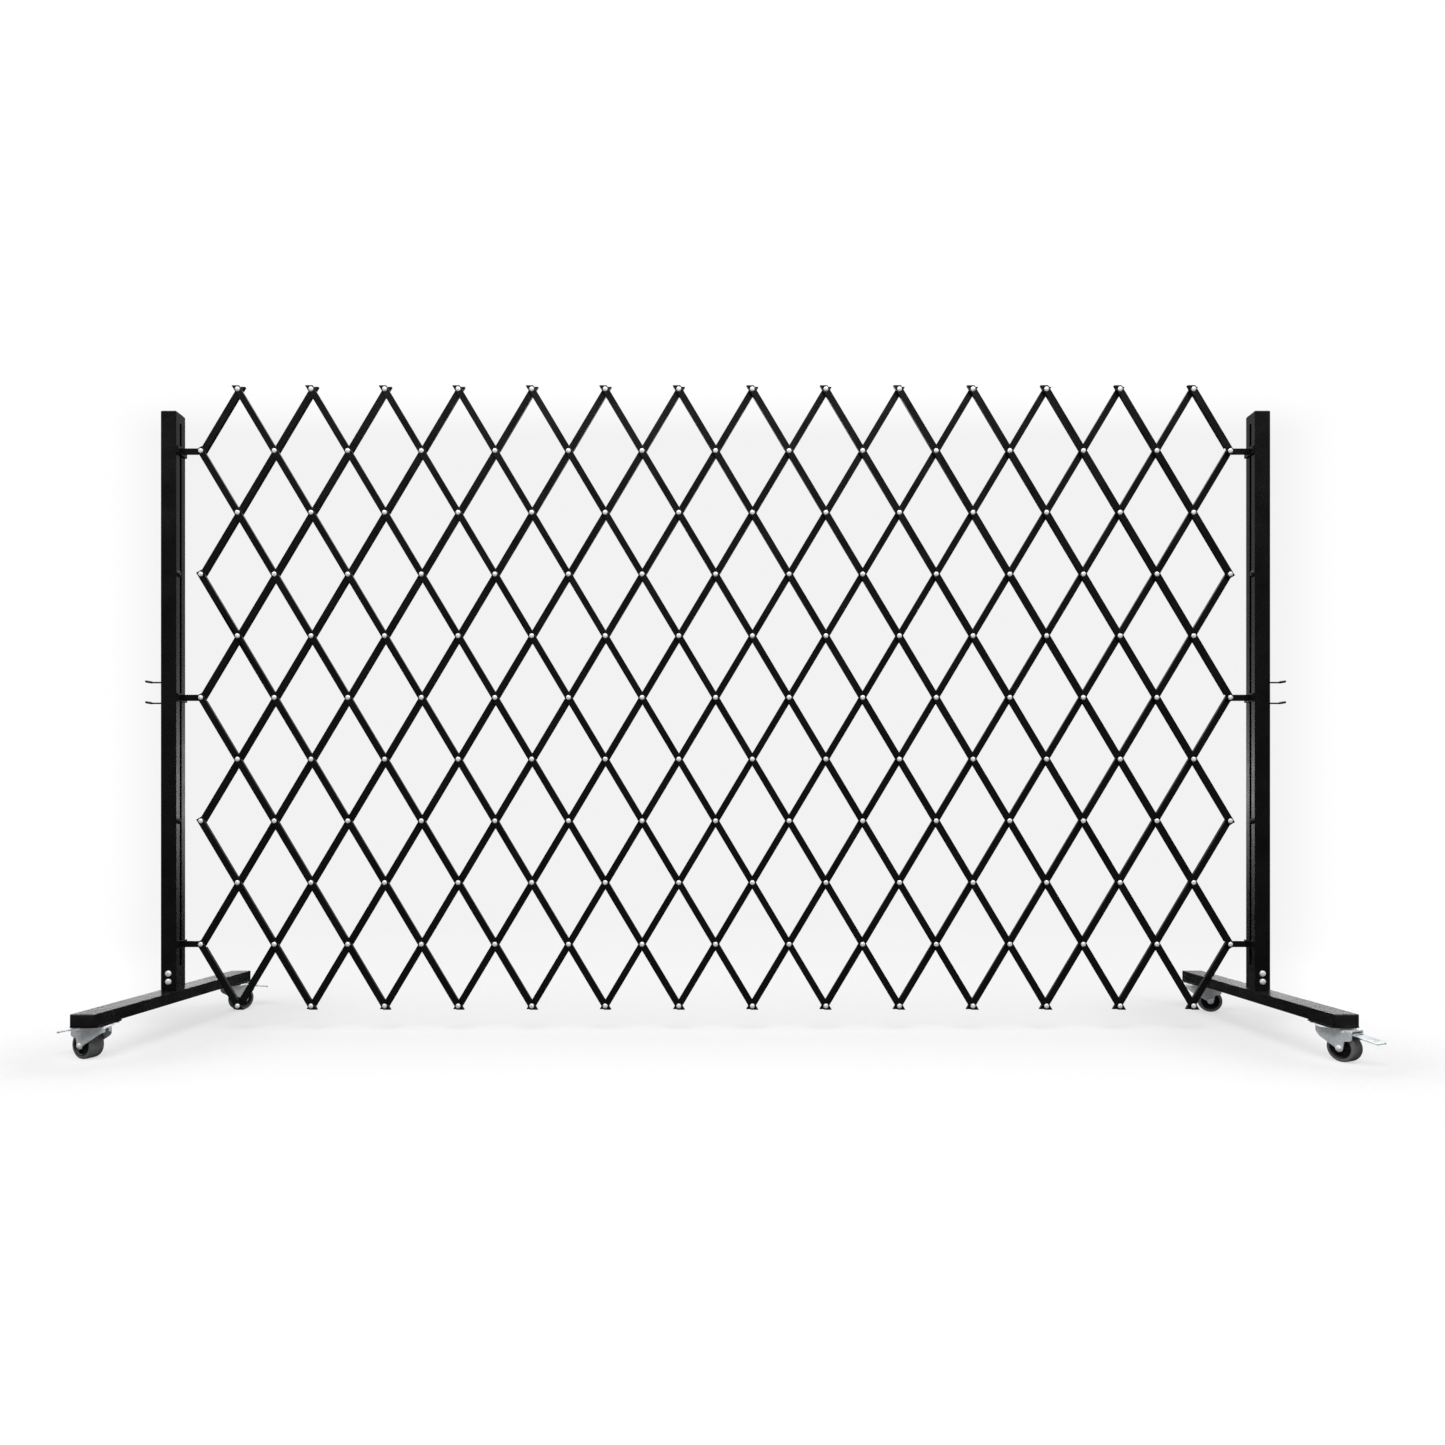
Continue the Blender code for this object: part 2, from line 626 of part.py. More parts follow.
def build_fork(name, spot, turn):
    crown = turned([(CROWN_RADIUS, CROWN_BOTTOM), (CROWN_RADIUS, CROWN_TOP - WELD_SINK)], ROUND_SIDES, Matrix())
    fork = add_object(name, crown, ZINC)
    for facing in (-1, 1):
        leg = bmesh.new()
        add_slab(leg, leg_outline(), facing * LEG_INNER, facing * LEG_OUTER)
        join(fork, leg)
    end = LEG_OUTER + AXLE_HEAD_LENGTH
    sunk = LEG_OUTER - LEG_THICKNESS / 2
    axle = [(AXLE_HEAD_RADIUS, -end), (AXLE_HEAD_RADIUS, -sunk), (AXLE_RADIUS, -sunk)]
    axle += [(AXLE_RADIUS, sunk), (AXLE_HEAD_RADIUS, sunk), (AXLE_HEAD_RADIUS, end)]
    join(fork, turned(axle, BOLT_SIDES, across(TRAIL, WHEEL_RADIUS)))
    king = (KING_PIN_RADIUS + RUNNING_CLEARANCE) / cos(pi / ROUND_SIDES)
    pin = (PEDAL_PIN_RADIUS + RUNNING_CLEARANCE) / cos(pi / BOLT_SIDES)
    king_hole = turned([(king, CROWN_BOTTOM - OVERRUN), (king, CROWN_TOP + OVERRUN)], ROUND_SIDES, Matrix())
    reach = LEG_OUTER + OVERRUN
    pin_hole = turned([(pin, -reach), (pin, reach)], BOLT_SIDES, across(PEDAL_PIVOT_X, PEDAL_PIVOT_Z))
    cut(fork, king_hole, pin_hole)
    fork.location = (*spot, 0)
    fork.rotation_euler.z = turn


def build_wheel(name, spot, turn):
    half = WHEEL_WIDTH / 2
    tread = WHEEL_RADIUS / cos(pi / WHEEL_SIDES)
    bore = (AXLE_RADIUS + RUNNING_CLEARANCE) / cos(pi / WHEEL_SIDES)
    side = [(bore, half), (HUB_RADIUS, half), (RIM_RADIUS - RECESS_DEPTH, half - RECESS_DEPTH)]
    side += [(RIM_RADIUS, half), (tread - TREAD_EDGE, half), (tread, half - TREAD_SHOULDER)]
    profile = side + [(radius, -height) for radius, height in reversed(side)]
    shape = bmesh.new()
    add_ring(shape, profile, WHEEL_SIDES, ALONG_Y)
    wheel = add_object(name, shape, BLACK_RUBBER)
    trail = Matrix.Rotation(turn, 4, "Z") @ Vector((TRAIL, 0, WHEEL_RADIUS))
    wheel.location = Vector((*spot, 0)) + trail
    wheel.rotation_euler.z = turn


def build_pedal(name, spot, turn):
    """Tongue between the legs, broader foot pad, brake shoe over the tread, and its pivot pins."""
    half = PEDAL_THICKNESS / 2
    reach = PEDAL_REACH - PEDAL_PIVOT_X
    tongue = bmesh.new()
    pad_start = 1 - PEDAL_PAD_LENGTH / reach
    inner_half = LEG_INNER - GAP
    outline = [(0, half), (reach, half - PEDAL_DROP), (reach, -half - PEDAL_DROP), (0, -half)]
    add_slab(tongue, outline, -inner_half, inner_half)
    pedal = add_object(name, tongue, ZINC)
    pad = bmesh.new()
    pad_rise = half + WELD_SINK
    outline = [(pad_start * reach, pad_rise - pad_start * PEDAL_DROP), (reach + OVERRUN, pad_rise - PEDAL_DROP)]
    outline += [(reach + OVERRUN, -pad_rise - PEDAL_DROP), (pad_start * reach, -pad_rise - pad_start * PEDAL_DROP)]
    add_slab(pad, outline, -PEDAL_PAD_WIDTH / 2, PEDAL_PAD_WIDTH / 2)
    barrel = turned([(PEDAL_BARREL_RADIUS, -inner_half), (PEDAL_BARREL_RADIUS, inner_half)], BOLT_SIDES, ALONG_Y)
    pin_end = LEG_OUTER + PEDAL_PIN_PROUD
    pins = turned([(PEDAL_PIN_RADIUS, -pin_end), (PEDAL_PIN_RADIUS, pin_end)], BOLT_SIDES, ALONG_Y)
    shoe_half = inner_half - WHEEL_SIDE_CLEARANCE
    shoe = (SHOE_START, -shoe_half, -SHOE_DROP), (SHOE_START + SHOE_LENGTH, shoe_half, -half)
    join(pedal, pad, barrel, pins, boxes(shoe))
    pivot = Matrix.Rotation(turn, 4, "Z") @ Vector((PEDAL_PIVOT_X, 0, PEDAL_PIVOT_Z))
    pedal.location = Vector((*spot, 0)) + pivot
    pedal.rotation_euler.z = turn


def build_all():
    clear_scene()
    bars = lattice_bars()
    turning_on = pivots(bars)
    for name, spots in bars.items():
        build_bar(name, spots, turning_on[name])
    levels = {"top": BRACKET_ROWS[0], "bottom": BRACKET_ROWS[-1]}
    for side_name, side in SIDES.items():
        build_post(side_name, side)
        build_foot(side_name, side)
        build_middle_bracket(side_name, side)
        for level, row in levels.items():
            build_slide_bracket(side_name, side, row, level)
        for end_name, end in ENDS.items():
            spot = caster_spot(side, end)
            turn = CASTER_TURNS[side_name, end_name]
            caster = f"{end_name}_{side_name}"
            build_fork(f"{caster}_fork", spot, turn)
            build_wheel(f"{caster}_wheel", spot, turn)
            build_pedal(f"{caster}_brake_pedal", spot, turn)


build_all()
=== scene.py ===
# %% [markdown]
# # An expandable safety barrier
#
# The real object is a scissor lattice of thin black steel channels, riveted at every crossing
# and held between two square posts that stand on wheeled feet.
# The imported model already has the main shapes. This lesson dresses it: it rounds the edges,
# covers the rivets, bolts and caps, builds finer casters, and gives each surface its finish.
# Everything is in metres, and the floor is at height 0.

import json
from math import atan2, cos, pi, radians, sin

import bpy
from mathutils import Matrix, Vector


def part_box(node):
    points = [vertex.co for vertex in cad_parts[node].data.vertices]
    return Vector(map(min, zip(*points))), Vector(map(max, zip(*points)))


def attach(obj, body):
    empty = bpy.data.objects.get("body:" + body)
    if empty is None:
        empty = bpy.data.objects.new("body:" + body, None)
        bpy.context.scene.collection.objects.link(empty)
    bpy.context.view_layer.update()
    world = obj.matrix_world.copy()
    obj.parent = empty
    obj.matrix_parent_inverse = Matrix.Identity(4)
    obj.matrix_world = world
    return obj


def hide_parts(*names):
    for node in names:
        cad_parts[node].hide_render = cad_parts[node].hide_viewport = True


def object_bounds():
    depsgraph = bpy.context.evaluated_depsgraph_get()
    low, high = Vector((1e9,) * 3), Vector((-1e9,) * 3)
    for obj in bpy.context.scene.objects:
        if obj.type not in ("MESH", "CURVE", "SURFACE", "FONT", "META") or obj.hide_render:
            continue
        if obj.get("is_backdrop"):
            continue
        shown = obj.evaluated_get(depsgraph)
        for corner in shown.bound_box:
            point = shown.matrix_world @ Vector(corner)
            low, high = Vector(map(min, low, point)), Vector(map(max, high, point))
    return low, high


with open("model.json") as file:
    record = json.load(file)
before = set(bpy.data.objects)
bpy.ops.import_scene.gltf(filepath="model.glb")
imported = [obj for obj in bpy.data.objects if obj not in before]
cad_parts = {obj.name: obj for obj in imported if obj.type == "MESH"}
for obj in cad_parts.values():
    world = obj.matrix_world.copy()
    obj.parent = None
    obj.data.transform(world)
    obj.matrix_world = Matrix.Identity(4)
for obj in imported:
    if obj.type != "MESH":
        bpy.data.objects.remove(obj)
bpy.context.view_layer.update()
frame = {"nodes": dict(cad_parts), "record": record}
nodes = frame["nodes"]
joints = {joint["name"]: joint for joint in frame["record"]["behaviour"]["joints"]}

# %% [markdown]
# ## Small helpers
#
# An operator acts on everything that is selected, so each step starts by clearing the selection.

# %% Selecting and editing
MM = 0.001


def deselect():
    bpy.ops.object.select_all(action="DESELECT")


def select_only(piece):
    deselect()
    piece.select_set(True)
    bpy.context.view_layer.objects.active = piece


def edit(piece, kind):
    """Opens the piece in edit mode with nothing selected. kind is VERT, EDGE or FACE."""
    select_only(piece)
    bpy.ops.object.mode_set(mode="EDIT")
    bpy.ops.mesh.select_mode(type=kind)
    bpy.ops.mesh.select_all(action="DESELECT")


def leave():
    bpy.ops.object.mode_set(mode="OBJECT")


# %% [markdown]
# A piece is modelled where it is easiest, about the scene's origin, and then its mesh is moved
# to its place. So every finished piece keeps the scene's own origin, and copies of one model
# can stand anywhere. Small pieces that move together, such as a bar's rivets, become one.

# %% Placing, copying and joining
def settle(piece, name, place=None):
    """Names the piece, moves its mesh to its place and puts its origin at the scene's origin."""
    select_only(piece)
    bpy.ops.object.transform_apply(location=True, rotation=True, scale=True)
    if place:
        piece.data.transform(place)
    piece.name = name
    piece.data.name = name
    return piece


def copy_of(piece, name, place):
    """A copy with its own mesh, moved to its place."""
    twin = piece.copy()
    twin.data = piece.data.copy()
    bpy.context.collection.objects.link(twin)
    return settle(twin, name, place)


def joined(pieces, name):
    """One piece made of several."""
    deselect()
    for piece in pieces:
        piece.select_set(True)
    bpy.context.view_layer.objects.active = pieces[0]
    if len(pieces) > 1:
        bpy.ops.object.join()
    return settle(bpy.context.object, name)


def discard(piece):
    bpy.data.objects.remove(piece, do_unlink=True)


# %% [markdown]
# Most round pieces are turned: a ring of points is laid on the piece's profile and spun
# about an axis, as clay is on a wheel. Where the profile touches the axis, its points merge.
# Wheels and axles are alike on both sides, so only one side of their profile is written.

# %% Turning a profile
def turn_piece(name, profile, steps, smooth_angle=35):
    """Spins a closed profile of (radius, depth) points in millimetres about the Y axis."""
    deselect()
    bpy.ops.mesh.primitive_circle_add(vertices=len(profile), radius=MM, fill_type="NOTHING")
    piece = bpy.context.object
    for point, (radius, depth) in zip(piece.data.vertices, profile):
        point.co = (radius * MM, depth * MM, 0)
    bpy.ops.object.mode_set(mode="EDIT")
    bpy.ops.mesh.select_all(action="SELECT")
    bpy.ops.mesh.spin(steps=steps, angle=2 * pi, center=(0, 0, 0), axis=(0, 1, 0))
    bpy.ops.mesh.select_all(action="SELECT")
    bpy.ops.mesh.remove_doubles(threshold=MM / 100)
    bpy.ops.mesh.dissolve_degenerate(threshold=MM / 100)
    bpy.ops.mesh.select_all(action="SELECT")
    bpy.ops.mesh.normals_make_consistent(inside=False)
    leave()
    bpy.ops.object.shade_smooth_by_angle(angle=radians(smooth_angle))
    piece.name = name
    return piece


def both_sides(side):
    """One side's (radius, depth) points, followed by the same points mirrored."""
    return side + [(radius, -depth) for radius, depth in reversed(side)]


# %% [markdown]
# ## Finishes
#
# Colours are written as hex values, as a paint maker gives them, and turned to linear light.
# Each finish is a few nodes: a base shader, and noise at the size of the real surface's grain.

# %% Colour and node helpers
def linear(hex_value):
    """A hex colour as linear red, green, blue and alpha."""
    shares = [int(hex_value[i : i + 2], 16) / 255 for i in (1, 3, 5)]
    return (*[s / 12.92 if s <= 0.04045 else ((s + 0.055) / 1.055) ** 2.4 for s in shares], 1)


def add_node(tree, kind, values=None, links=None, **settings):
    """Adds a node, sets its settings and socket values, and links sockets into it."""
    node = tree.nodes.new(kind)
    for key, value in settings.items():
        setattr(node, key, value)
    for key, value in (values or {}).items():
        node.inputs[key].default_value = value
    for key, source in (links or {}).items():
        tree.links.new(source, node.inputs[key])
    return node


def new_finish(name):
    """An empty material with its shader, its node tree and its object coordinates."""
    finish = bpy.data.materials.new(name)
    finish.use_nodes = True
    tree = finish.node_tree
    shader = tree.nodes["Principled BSDF"]
    place = add_node(tree, "ShaderNodeTexCoord").outputs["Object"]
    return finish, tree, shader, place


def grain(tree, place, size_mm, detail=2.0, roughness=0.5):
    """Noise whose blotches are about this size."""
    values = {"Scale": 1 / (size_mm * MM), "Detail": detail, "Roughness": roughness}
    return add_node(tree, "ShaderNodeTexNoise", values, {"Vector": place}).outputs["Fac"]


def spread(tree, source, low, high):
    """The noise's middle range stretched between two values."""
    values = {"From Min": 0.3, "From Max": 0.7, "To Min": low, "To Max": high}
    return add_node(tree, "ShaderNodeMapRange", values, {"Value": source}).outputs["Result"]


def tint(tree, source, low_hex, high_hex):
    """The noise's middle range as a mix of two colours."""
    mix = add_node(tree, "ShaderNodeMix", data_type="RGBA")
    mix.inputs[6].default_value = linear(low_hex)
    mix.inputs[7].default_value = linear(high_hex)
    tree.links.new(spread(tree, source, 0, 1), mix.inputs[0])
    return mix.outputs[2]


def bump(tree, shader, height, depth_mm, strength):
    """Tilts the surface's light as a relief of this depth would."""
    values = {"Strength": strength, "Distance": depth_mm * MM}
    node = add_node(tree, "ShaderNodeBump", values, {"Height": height})
    tree.links.new(node.outputs["Normal"], shader.inputs["Normal"])


# %% [markdown]
# ### Black powder coat
#
# Polyester powder sprayed on the steel and baked. It flows into a satin film with a faint
# orange peel, about 1.5 mm from crest to crest. Its gloss rises at grazing angles, which is
# what turns the feet's tops grey where they mirror the studio's windows.

# %% Powder coat
def powder_coat():
    finish, tree, shader, place = new_finish("satin_black_powder_coat")
    cloud = grain(tree, place, size_mm=60, detail=3)
    peel = grain(tree, place, size_mm=1.5, detail=1)
    tree.links.new(tint(tree, cloud, "#0b0b0c", "#111112"), shader.inputs["Base Color"])
    tree.links.new(spread(tree, cloud, low=0.22, high=0.29), shader.inputs["Roughness"])
    shader.inputs["Specular IOR Level"].default_value = 0.42
    bump(tree, shader, peel, depth_mm=0.01, strength=0.05)
    return finish


# %% [markdown]
# ### Zinc plate
#
# The casters' pressed steel is bright zinc plated: a bluish grey with a fine draw grain from
# the press. A milky passivation film covers it in clouds a few millimetres across, so the
# shader is only part metal: it stays pale where bare metal would mirror the dark room.

# %% Zinc finishes
def zinc_plate():
    finish, tree, shader, place = new_finish("bright_zinc_plated_steel")
    cloud = grain(tree, place, size_mm=7, detail=3)
    draw = grain(tree, place, size_mm=0.6, detail=2)
    tree.links.new(tint(tree, cloud, "#cfd6d9", "#e4e8ea"), shader.inputs["Base Color"])
    tree.links.new(spread(tree, cloud, low=0.30, high=0.42), shader.inputs["Roughness"])
    shader.inputs["Metallic"].default_value = 0.3
    bump(tree, shader, draw, depth_mm=0.01, strength=0.3)
    return finish


def formed_zinc():
    """Rivet and bolt heads: smooth from the forming die. Their near-white colour is partly pale
    zinc and partly a painted highlight.
    """
    finish, tree, shader, place = new_finish("zinc_rivet_with_painted_highlight")
    cloud = grain(tree, place, size_mm=4, detail=1)
    # Near-white: partly the zinc's pale tone, partly a painted highlight in place of the heads'
    # glint.
    tree.links.new(tint(tree, cloud, "#e3e5e6", "#f2f3f3"), shader.inputs["Base Color"])
    tree.links.new(spread(tree, cloud, low=0.40, high=0.48), shader.inputs["Roughness"])
    shader.inputs["Metallic"].default_value = 0.2
    return finish


# %% [markdown]
# ### Plastics and rubber
#
# The wheels have a moulded polypropylene core and a dark grey thermoplastic rubber tread.
# The caps and bumpers are black polyethylene. Moulds leave a fine even spark-eroded grain.

# %% Plastic and rubber finishes
ROUGHNESS_SPREAD = 0.06


def moulded_plastic(name, low_hex, high_hex, grain_mm, rough):
    finish, tree, shader, place = new_finish(name)
    cloud = grain(tree, place, size_mm=20, detail=2)
    pores = grain(tree, place, grain_mm, detail=2)
    tree.links.new(tint(tree, cloud, low_hex, high_hex), shader.inputs["Base Color"])
    low, high = rough - ROUGHNESS_SPREAD, rough + ROUGHNESS_SPREAD
    tree.links.new(spread(tree, pores, low, high), shader.inputs["Roughness"])
    shader.inputs["Specular IOR Level"].default_value = 0.35
    bump(tree, shader, pores, depth_mm=0.03, strength=0.3)
    return finish


COAT = powder_coat()
ZINC = zinc_plate()
RIVET = formed_zinc()
core_look = {"low_hex": "#101010", "high_hex": "#181818", "grain_mm": 0.5, "rough": 0.42}
tread_look = {"low_hex": "#5a5a5b", "high_hex": "#6a6a6b", "grain_mm": 0.9, "rough": 0.58}
cap_look = {"low_hex": "#0d0d0d", "high_hex": "#151515", "grain_mm": 0.6, "rough": 0.5}
CORE = moulded_plastic("moulded_polypropylene_wheel_core", **core_look)
TREAD = moulded_plastic("grey_black_rubber_tread", **tread_look)
CAP = moulded_plastic("black_polyethylene_cap", **cap_look)


def dress(piece, finish):
    """Gives the whole piece one finish."""
    piece.data.materials.clear()
    piece.data.materials.append(finish)


print("finishes", [finish.name for finish in (COAT, ZINC, RIVET, CORE, TREAD, CAP)])


# %% [markdown]
# ## The steelwork
#
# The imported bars, posts, feet and brackets have the right shapes but knife-sharp edges.
# Rolled and folded steel has small radii that catch a line of light, so each node keeps its
# mesh and gets modifiers: one welds its loose triangles, one melts flat faces together,
# and a bevel rounds what is left.

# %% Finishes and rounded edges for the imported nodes
def round_edges(node, radius_mm):
    weld = node.modifiers.new("weld", "WELD")
    weld.merge_threshold = MM / 100
    flat = node.modifiers.new("flat", "DECIMATE")
    flat.decimate_type = "DISSOLVE"
    flat.angle_limit = radians(0.5)
    edge = node.modifiers.new("edge", "BEVEL")
    edge.width = radius_mm * MM
    edge.segments = 2
    edge.limit_method = "ANGLE"
    edge.angle_limit = radians(40)
    level = node.modifiers.new("level", "WEIGHTED_NORMAL")
    level.mode = "FACE_AREA"
    level.weight = 100


EDGE_RADII_MM = {"bar": 0.7, "post": 1.6, "foot": 1.4, "bracket": 0.8}
for name, node in nodes.items():
    dress(node, COAT)
    for word, radius_mm in EDGE_RADII_MM.items():
        if word in name:
            round_edges(node, radius_mm)
print("dressed", len(nodes), "nodes in powder coat")

# %% [markdown]
# ## Rivets
#
# At every crossing a bright rivet passes through both bars. Its factory head is a shallow
# dome on the front bar, and its tail is clenched to a smaller button inside the rear bar.
# One rivet is turned and copied to each crossing, then a bar's rivets become one piece.

# %% Where the crossings are
COLUMNS = 28
ROWS = 10
left_middle = Vector(joints["barrier_fold"]["pos_m"])
left_top = Vector(joints["left_top_slide_bracket_rivet"]["pos_m"])
half_cell_width = -2 * left_middle.x / COLUMNS
half_cell_height = (left_top.z - left_middle.z) / (ROWS / 2 - 1)


def crossing(column, row):
    x = left_middle.x + column * half_cell_width
    return Vector((x, 0, left_middle.z + (ROWS / 2 - row) * half_cell_height))


front_bars = {}
for number, offset in enumerate(range(1 - ROWS, COLUMNS, 2), start=1):
    spots = [(column, column - offset) for column in range(COLUMNS + 1)]
    front_bars[f"front_bar_{number:02d}"] = [spot for spot in spots if 0 <= spot[1] <= ROWS]
print("crossings", sum(len(spots) for spots in front_bars.values()))

# %% [markdown]
# The head's underside sits on the front bar's face, 8.1 mm in front of the lattice's middle,
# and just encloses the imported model's six-sided head. The tail's button sits behind the rear
# bar's web. Their points are a radius and a depth in millimetres.

# %% One rivet head and one clenched tail, then all of them
HEAD_SEAT = -8.12
head_profile = [(0, HEAD_SEAT), (6.3, HEAD_SEAT), (5.9, -9.3)]
head_profile += [(4.7, -10.4), (2.7, -11.2), (0, -11.5)]
tail_profile = [(0, 1.7), (4.6, 1.7), (4.6, 2.6), (3.4, 3.7), (0, 4.0)]
rivet_head = turn_piece("rivet_head", head_profile, steps=14)
rivet_tail = turn_piece("rivet_tail", tail_profile, steps=10)
for name, spots in front_bars.items():
    copies = []
    for spot in spots:
        place = Matrix.Translation(crossing(*spot))
        copies += [copy_of(rivet_head, "head", place), copy_of(rivet_tail, "tail", place)]
    rivets = joined(copies, f"{name}_rivets")
    dress(rivets, RIVET)
    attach(rivets, name)
discard(rivet_head)
discard(rivet_tail)
print("rivets on", len(front_bars), "front bars")

# %% [markdown]
# ## Posts
#
# A plastic cap closes each post's top, two bright bolts clamp it to its foot, and two small
# half-round bumpers on the inner face stop the lattice from knocking the post.

# %% Rounded blocks
SIDES = {"left": -1, "right": 1}


def slab(name, low, high, finish, round_mm, body=None, segments=3):
    """A cast or moulded block between two corners, with its edges rounded."""
    deselect()
    low, high = Vector(low), Vector(high)
    bpy.ops.mesh.primitive_cube_add(size=1, location=(low + high) / 2)
    piece = bpy.context.object
    piece.scale = high - low
    settle(piece, name)
    edit(piece, "EDGE")
    bpy.ops.mesh.select_all(action="SELECT")
    bpy.ops.mesh.bevel(offset=round_mm * MM, segments=segments, affect="EDGES")
    leave()
    bpy.ops.object.shade_smooth_by_angle(angle=radians(35))
    dress(piece, finish)
    if body:
        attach(piece, body)
    return piece


# %% Post caps
CAP_INSET_MM = 1.2
CAP_DEPTH_MM, CAP_RISE_MM = 1, 1.6
for side in SIDES:
    low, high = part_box(f"{side}_post")
    top = high[2]
    inset = CAP_INSET_MM * MM
    cap = slab(
        f"{side}_post_cap",
        (low[0] + inset, low[1] + inset, top - CAP_DEPTH_MM * MM),
        (high[0] - inset, high[1] - inset, top + CAP_RISE_MM * MM),
        CAP,
        round_mm=0.7,
        body=f"{side}_frame",
    )

# %% [markdown]
# Each post is clamped to the foot's spigot by two mushroom-headed bolts, bright against the coat.

# %% Post bolts
BOLT_HEIGHTS_MM = (23, 44)
SPIGOT_HEIGHT_MM = 58
post_front_mm = -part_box("left_post")[0][1] / MM
foot_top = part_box("left_foot")[1][2] - SPIGOT_HEIGHT_MM * MM


def post_centre(side):
    low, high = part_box(f"{side}_post")
    return (low[0] + high[0]) / 2


BOLT_GAP_MM = 0.1
seat = post_front_mm + BOLT_GAP_MM
bolt_profile = [(0, -seat), (7.7, -seat), (7.7, -seat - 1.4), (7.0, -seat - 2.8)]
bolt_profile += [(5.6, -seat - 3.9), (3.0, -seat - 4.7), (0, -seat - 5.0)]
bolt = turn_piece("bolt", bolt_profile, steps=24)
for side in SIDES:
    heads = []
    for height in BOLT_HEIGHTS_MM:
        place = Matrix.Translation((post_centre(side), 0, foot_top + height * MM))
        heads.append(copy_of(bolt, "head", place))
    bolts = joined(heads, f"{side}_post_bolts")
    dress(bolts, RIVET)
    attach(bolts, f"{side}_frame")
discard(bolt)
print("foot top", round(foot_top, 4), "post front", round(post_front_mm, 2), "mm")

# %% [markdown]
# Small rubber domes stand on each post's inner face, in front of the slot, at the heights of
# the two rows between the brackets. The folding lattice meets them before it meets the post.

# %% Bumpers
BUMPER_ROWS = {"upper": 3, "lower": 7}
BUMPER_FORWARD_MM = 10.5
bumper_profile = [(0, -0.4), (8.6, -0.4), (8.6, 0.8), (7.4, 3.0), (4.6, 4.5), (0, 5.0)]
bumper = turn_piece("bumper", bumper_profile, steps=24)
for side, sign in SIDES.items():
    inner_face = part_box(f"{side}_post")[0 if sign > 0 else 1][0]
    for level, row in BUMPER_ROWS.items():
        spot = Vector((inner_face, -BUMPER_FORWARD_MM * MM, crossing(0, row).z))
        facing_in = Matrix.Translation(spot) @ Matrix.Rotation(sign * pi / 2, 4, "Z")
        dome = copy_of(bumper, f"{side}_{level}_bumper", facing_in)
        dress(dome, CAP)
        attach(dome, f"{side}_frame")
discard(bumper)
print("bumpers on the rows", BUMPER_ROWS)

# %% [markdown]
# ## Feet
#
# Moulded plugs close the ends of the foot tubes. Their rims are a little smaller than the tube.

# %% Foot caps
CAP_SUNK_MM, CAP_PROUD_MM = 0.5, 2.4
CAP_HALF_MM, CAP_LOW_MM, CAP_HIGH_MM = 27.2, 27.2, 0.8
for side in SIDES:
    low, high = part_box(f"{side}_foot")
    centre = post_centre(side)
    for end, face in (("front", low[1]), ("rear", high[1])):
        outward = -1 if end == "front" else 1
        near, far = sorted((face - outward * CAP_SUNK_MM * MM, face + outward * CAP_PROUD_MM * MM))
        slab(
            f"{side}_{end}_foot_cap",
            (centre - CAP_HALF_MM * MM, near, foot_top - CAP_LOW_MM * MM),
            (centre + CAP_HALF_MM * MM, far, foot_top - CAP_HIGH_MM * MM),
            CAP,
            round_mm=1.0,
            body=f"{side}_frame",
        )
print("foot caps", len(SIDES) * 2)

# %% [markdown]
# ## Casters
#
# Each caster stands where its joints say: the swivel joint gives the king pin, and the wheel's
# axis gives the way it points. Its pieces are modelled once about the king pin, in millimetres,
# with the wheel trailing along +X, and then copied to the four corners.

# %% Where the casters stand
CASTERS = [f"{end}_{side}" for end in ("front", "rear") for side in SIDES]
spots = [joints[f"front_left_{word}"]["pos_m"] for word in ("swivel", "wheel_spin", "brake")]
king, axle, pivot = (Vector(spot) for spot in spots)
TRAIL = (axle - king).xy.length / MM
AXLE_HEIGHT = axle.z / MM
PIVOT_REACH = (pivot - king).xy.length / MM
PIVOT_HEIGHT = pivot.z / MM
CROWN_RISE = 3
CROWN_TOP = king.z / MM + CROWN_RISE


def in_mm(x, y, z):
    return Matrix.Translation(Vector((x, y, z)) * MM)


def caster_place(caster):
    """The king pin's place on the floor, turned to where the caster trails."""
    spot = Vector(joints[f"{caster}_swivel"]["pos_m"])
    axis = joints[f"{caster}_wheel_spin"]["axis"]
    turn = atan2(-axis[0], axis[1])
    return Matrix.Translation((spot.x, spot.y, 0)) @ Matrix.Rotation(turn, 4, "Z")


def to_casters(model, word, finish, body, replaced=False):
    """Copies a piece that is modelled about the king pin to all four casters."""
    for caster in CASTERS:
        piece = copy_of(model, f"{caster}_{word}", caster_place(caster))
        dress(piece, finish)
        node = f"{caster}_{body}"
        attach(piece, node)
        if replaced:
            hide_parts(node)
    discard(model)


print("trail", round(TRAIL, 2), "axle height", round(AXLE_HEIGHT, 2))
print("pedal pivot", round(PIVOT_REACH, 2), "out and", round(PIVOT_HEIGHT, 2), "up")

# %% [markdown]
# ### Wheels
#
# A moulded core with a hub, a dished web and a rim, stiffened by six ribs on each side. The
# softer tread is moulded round it, with rounded shoulders and two fine grooves.

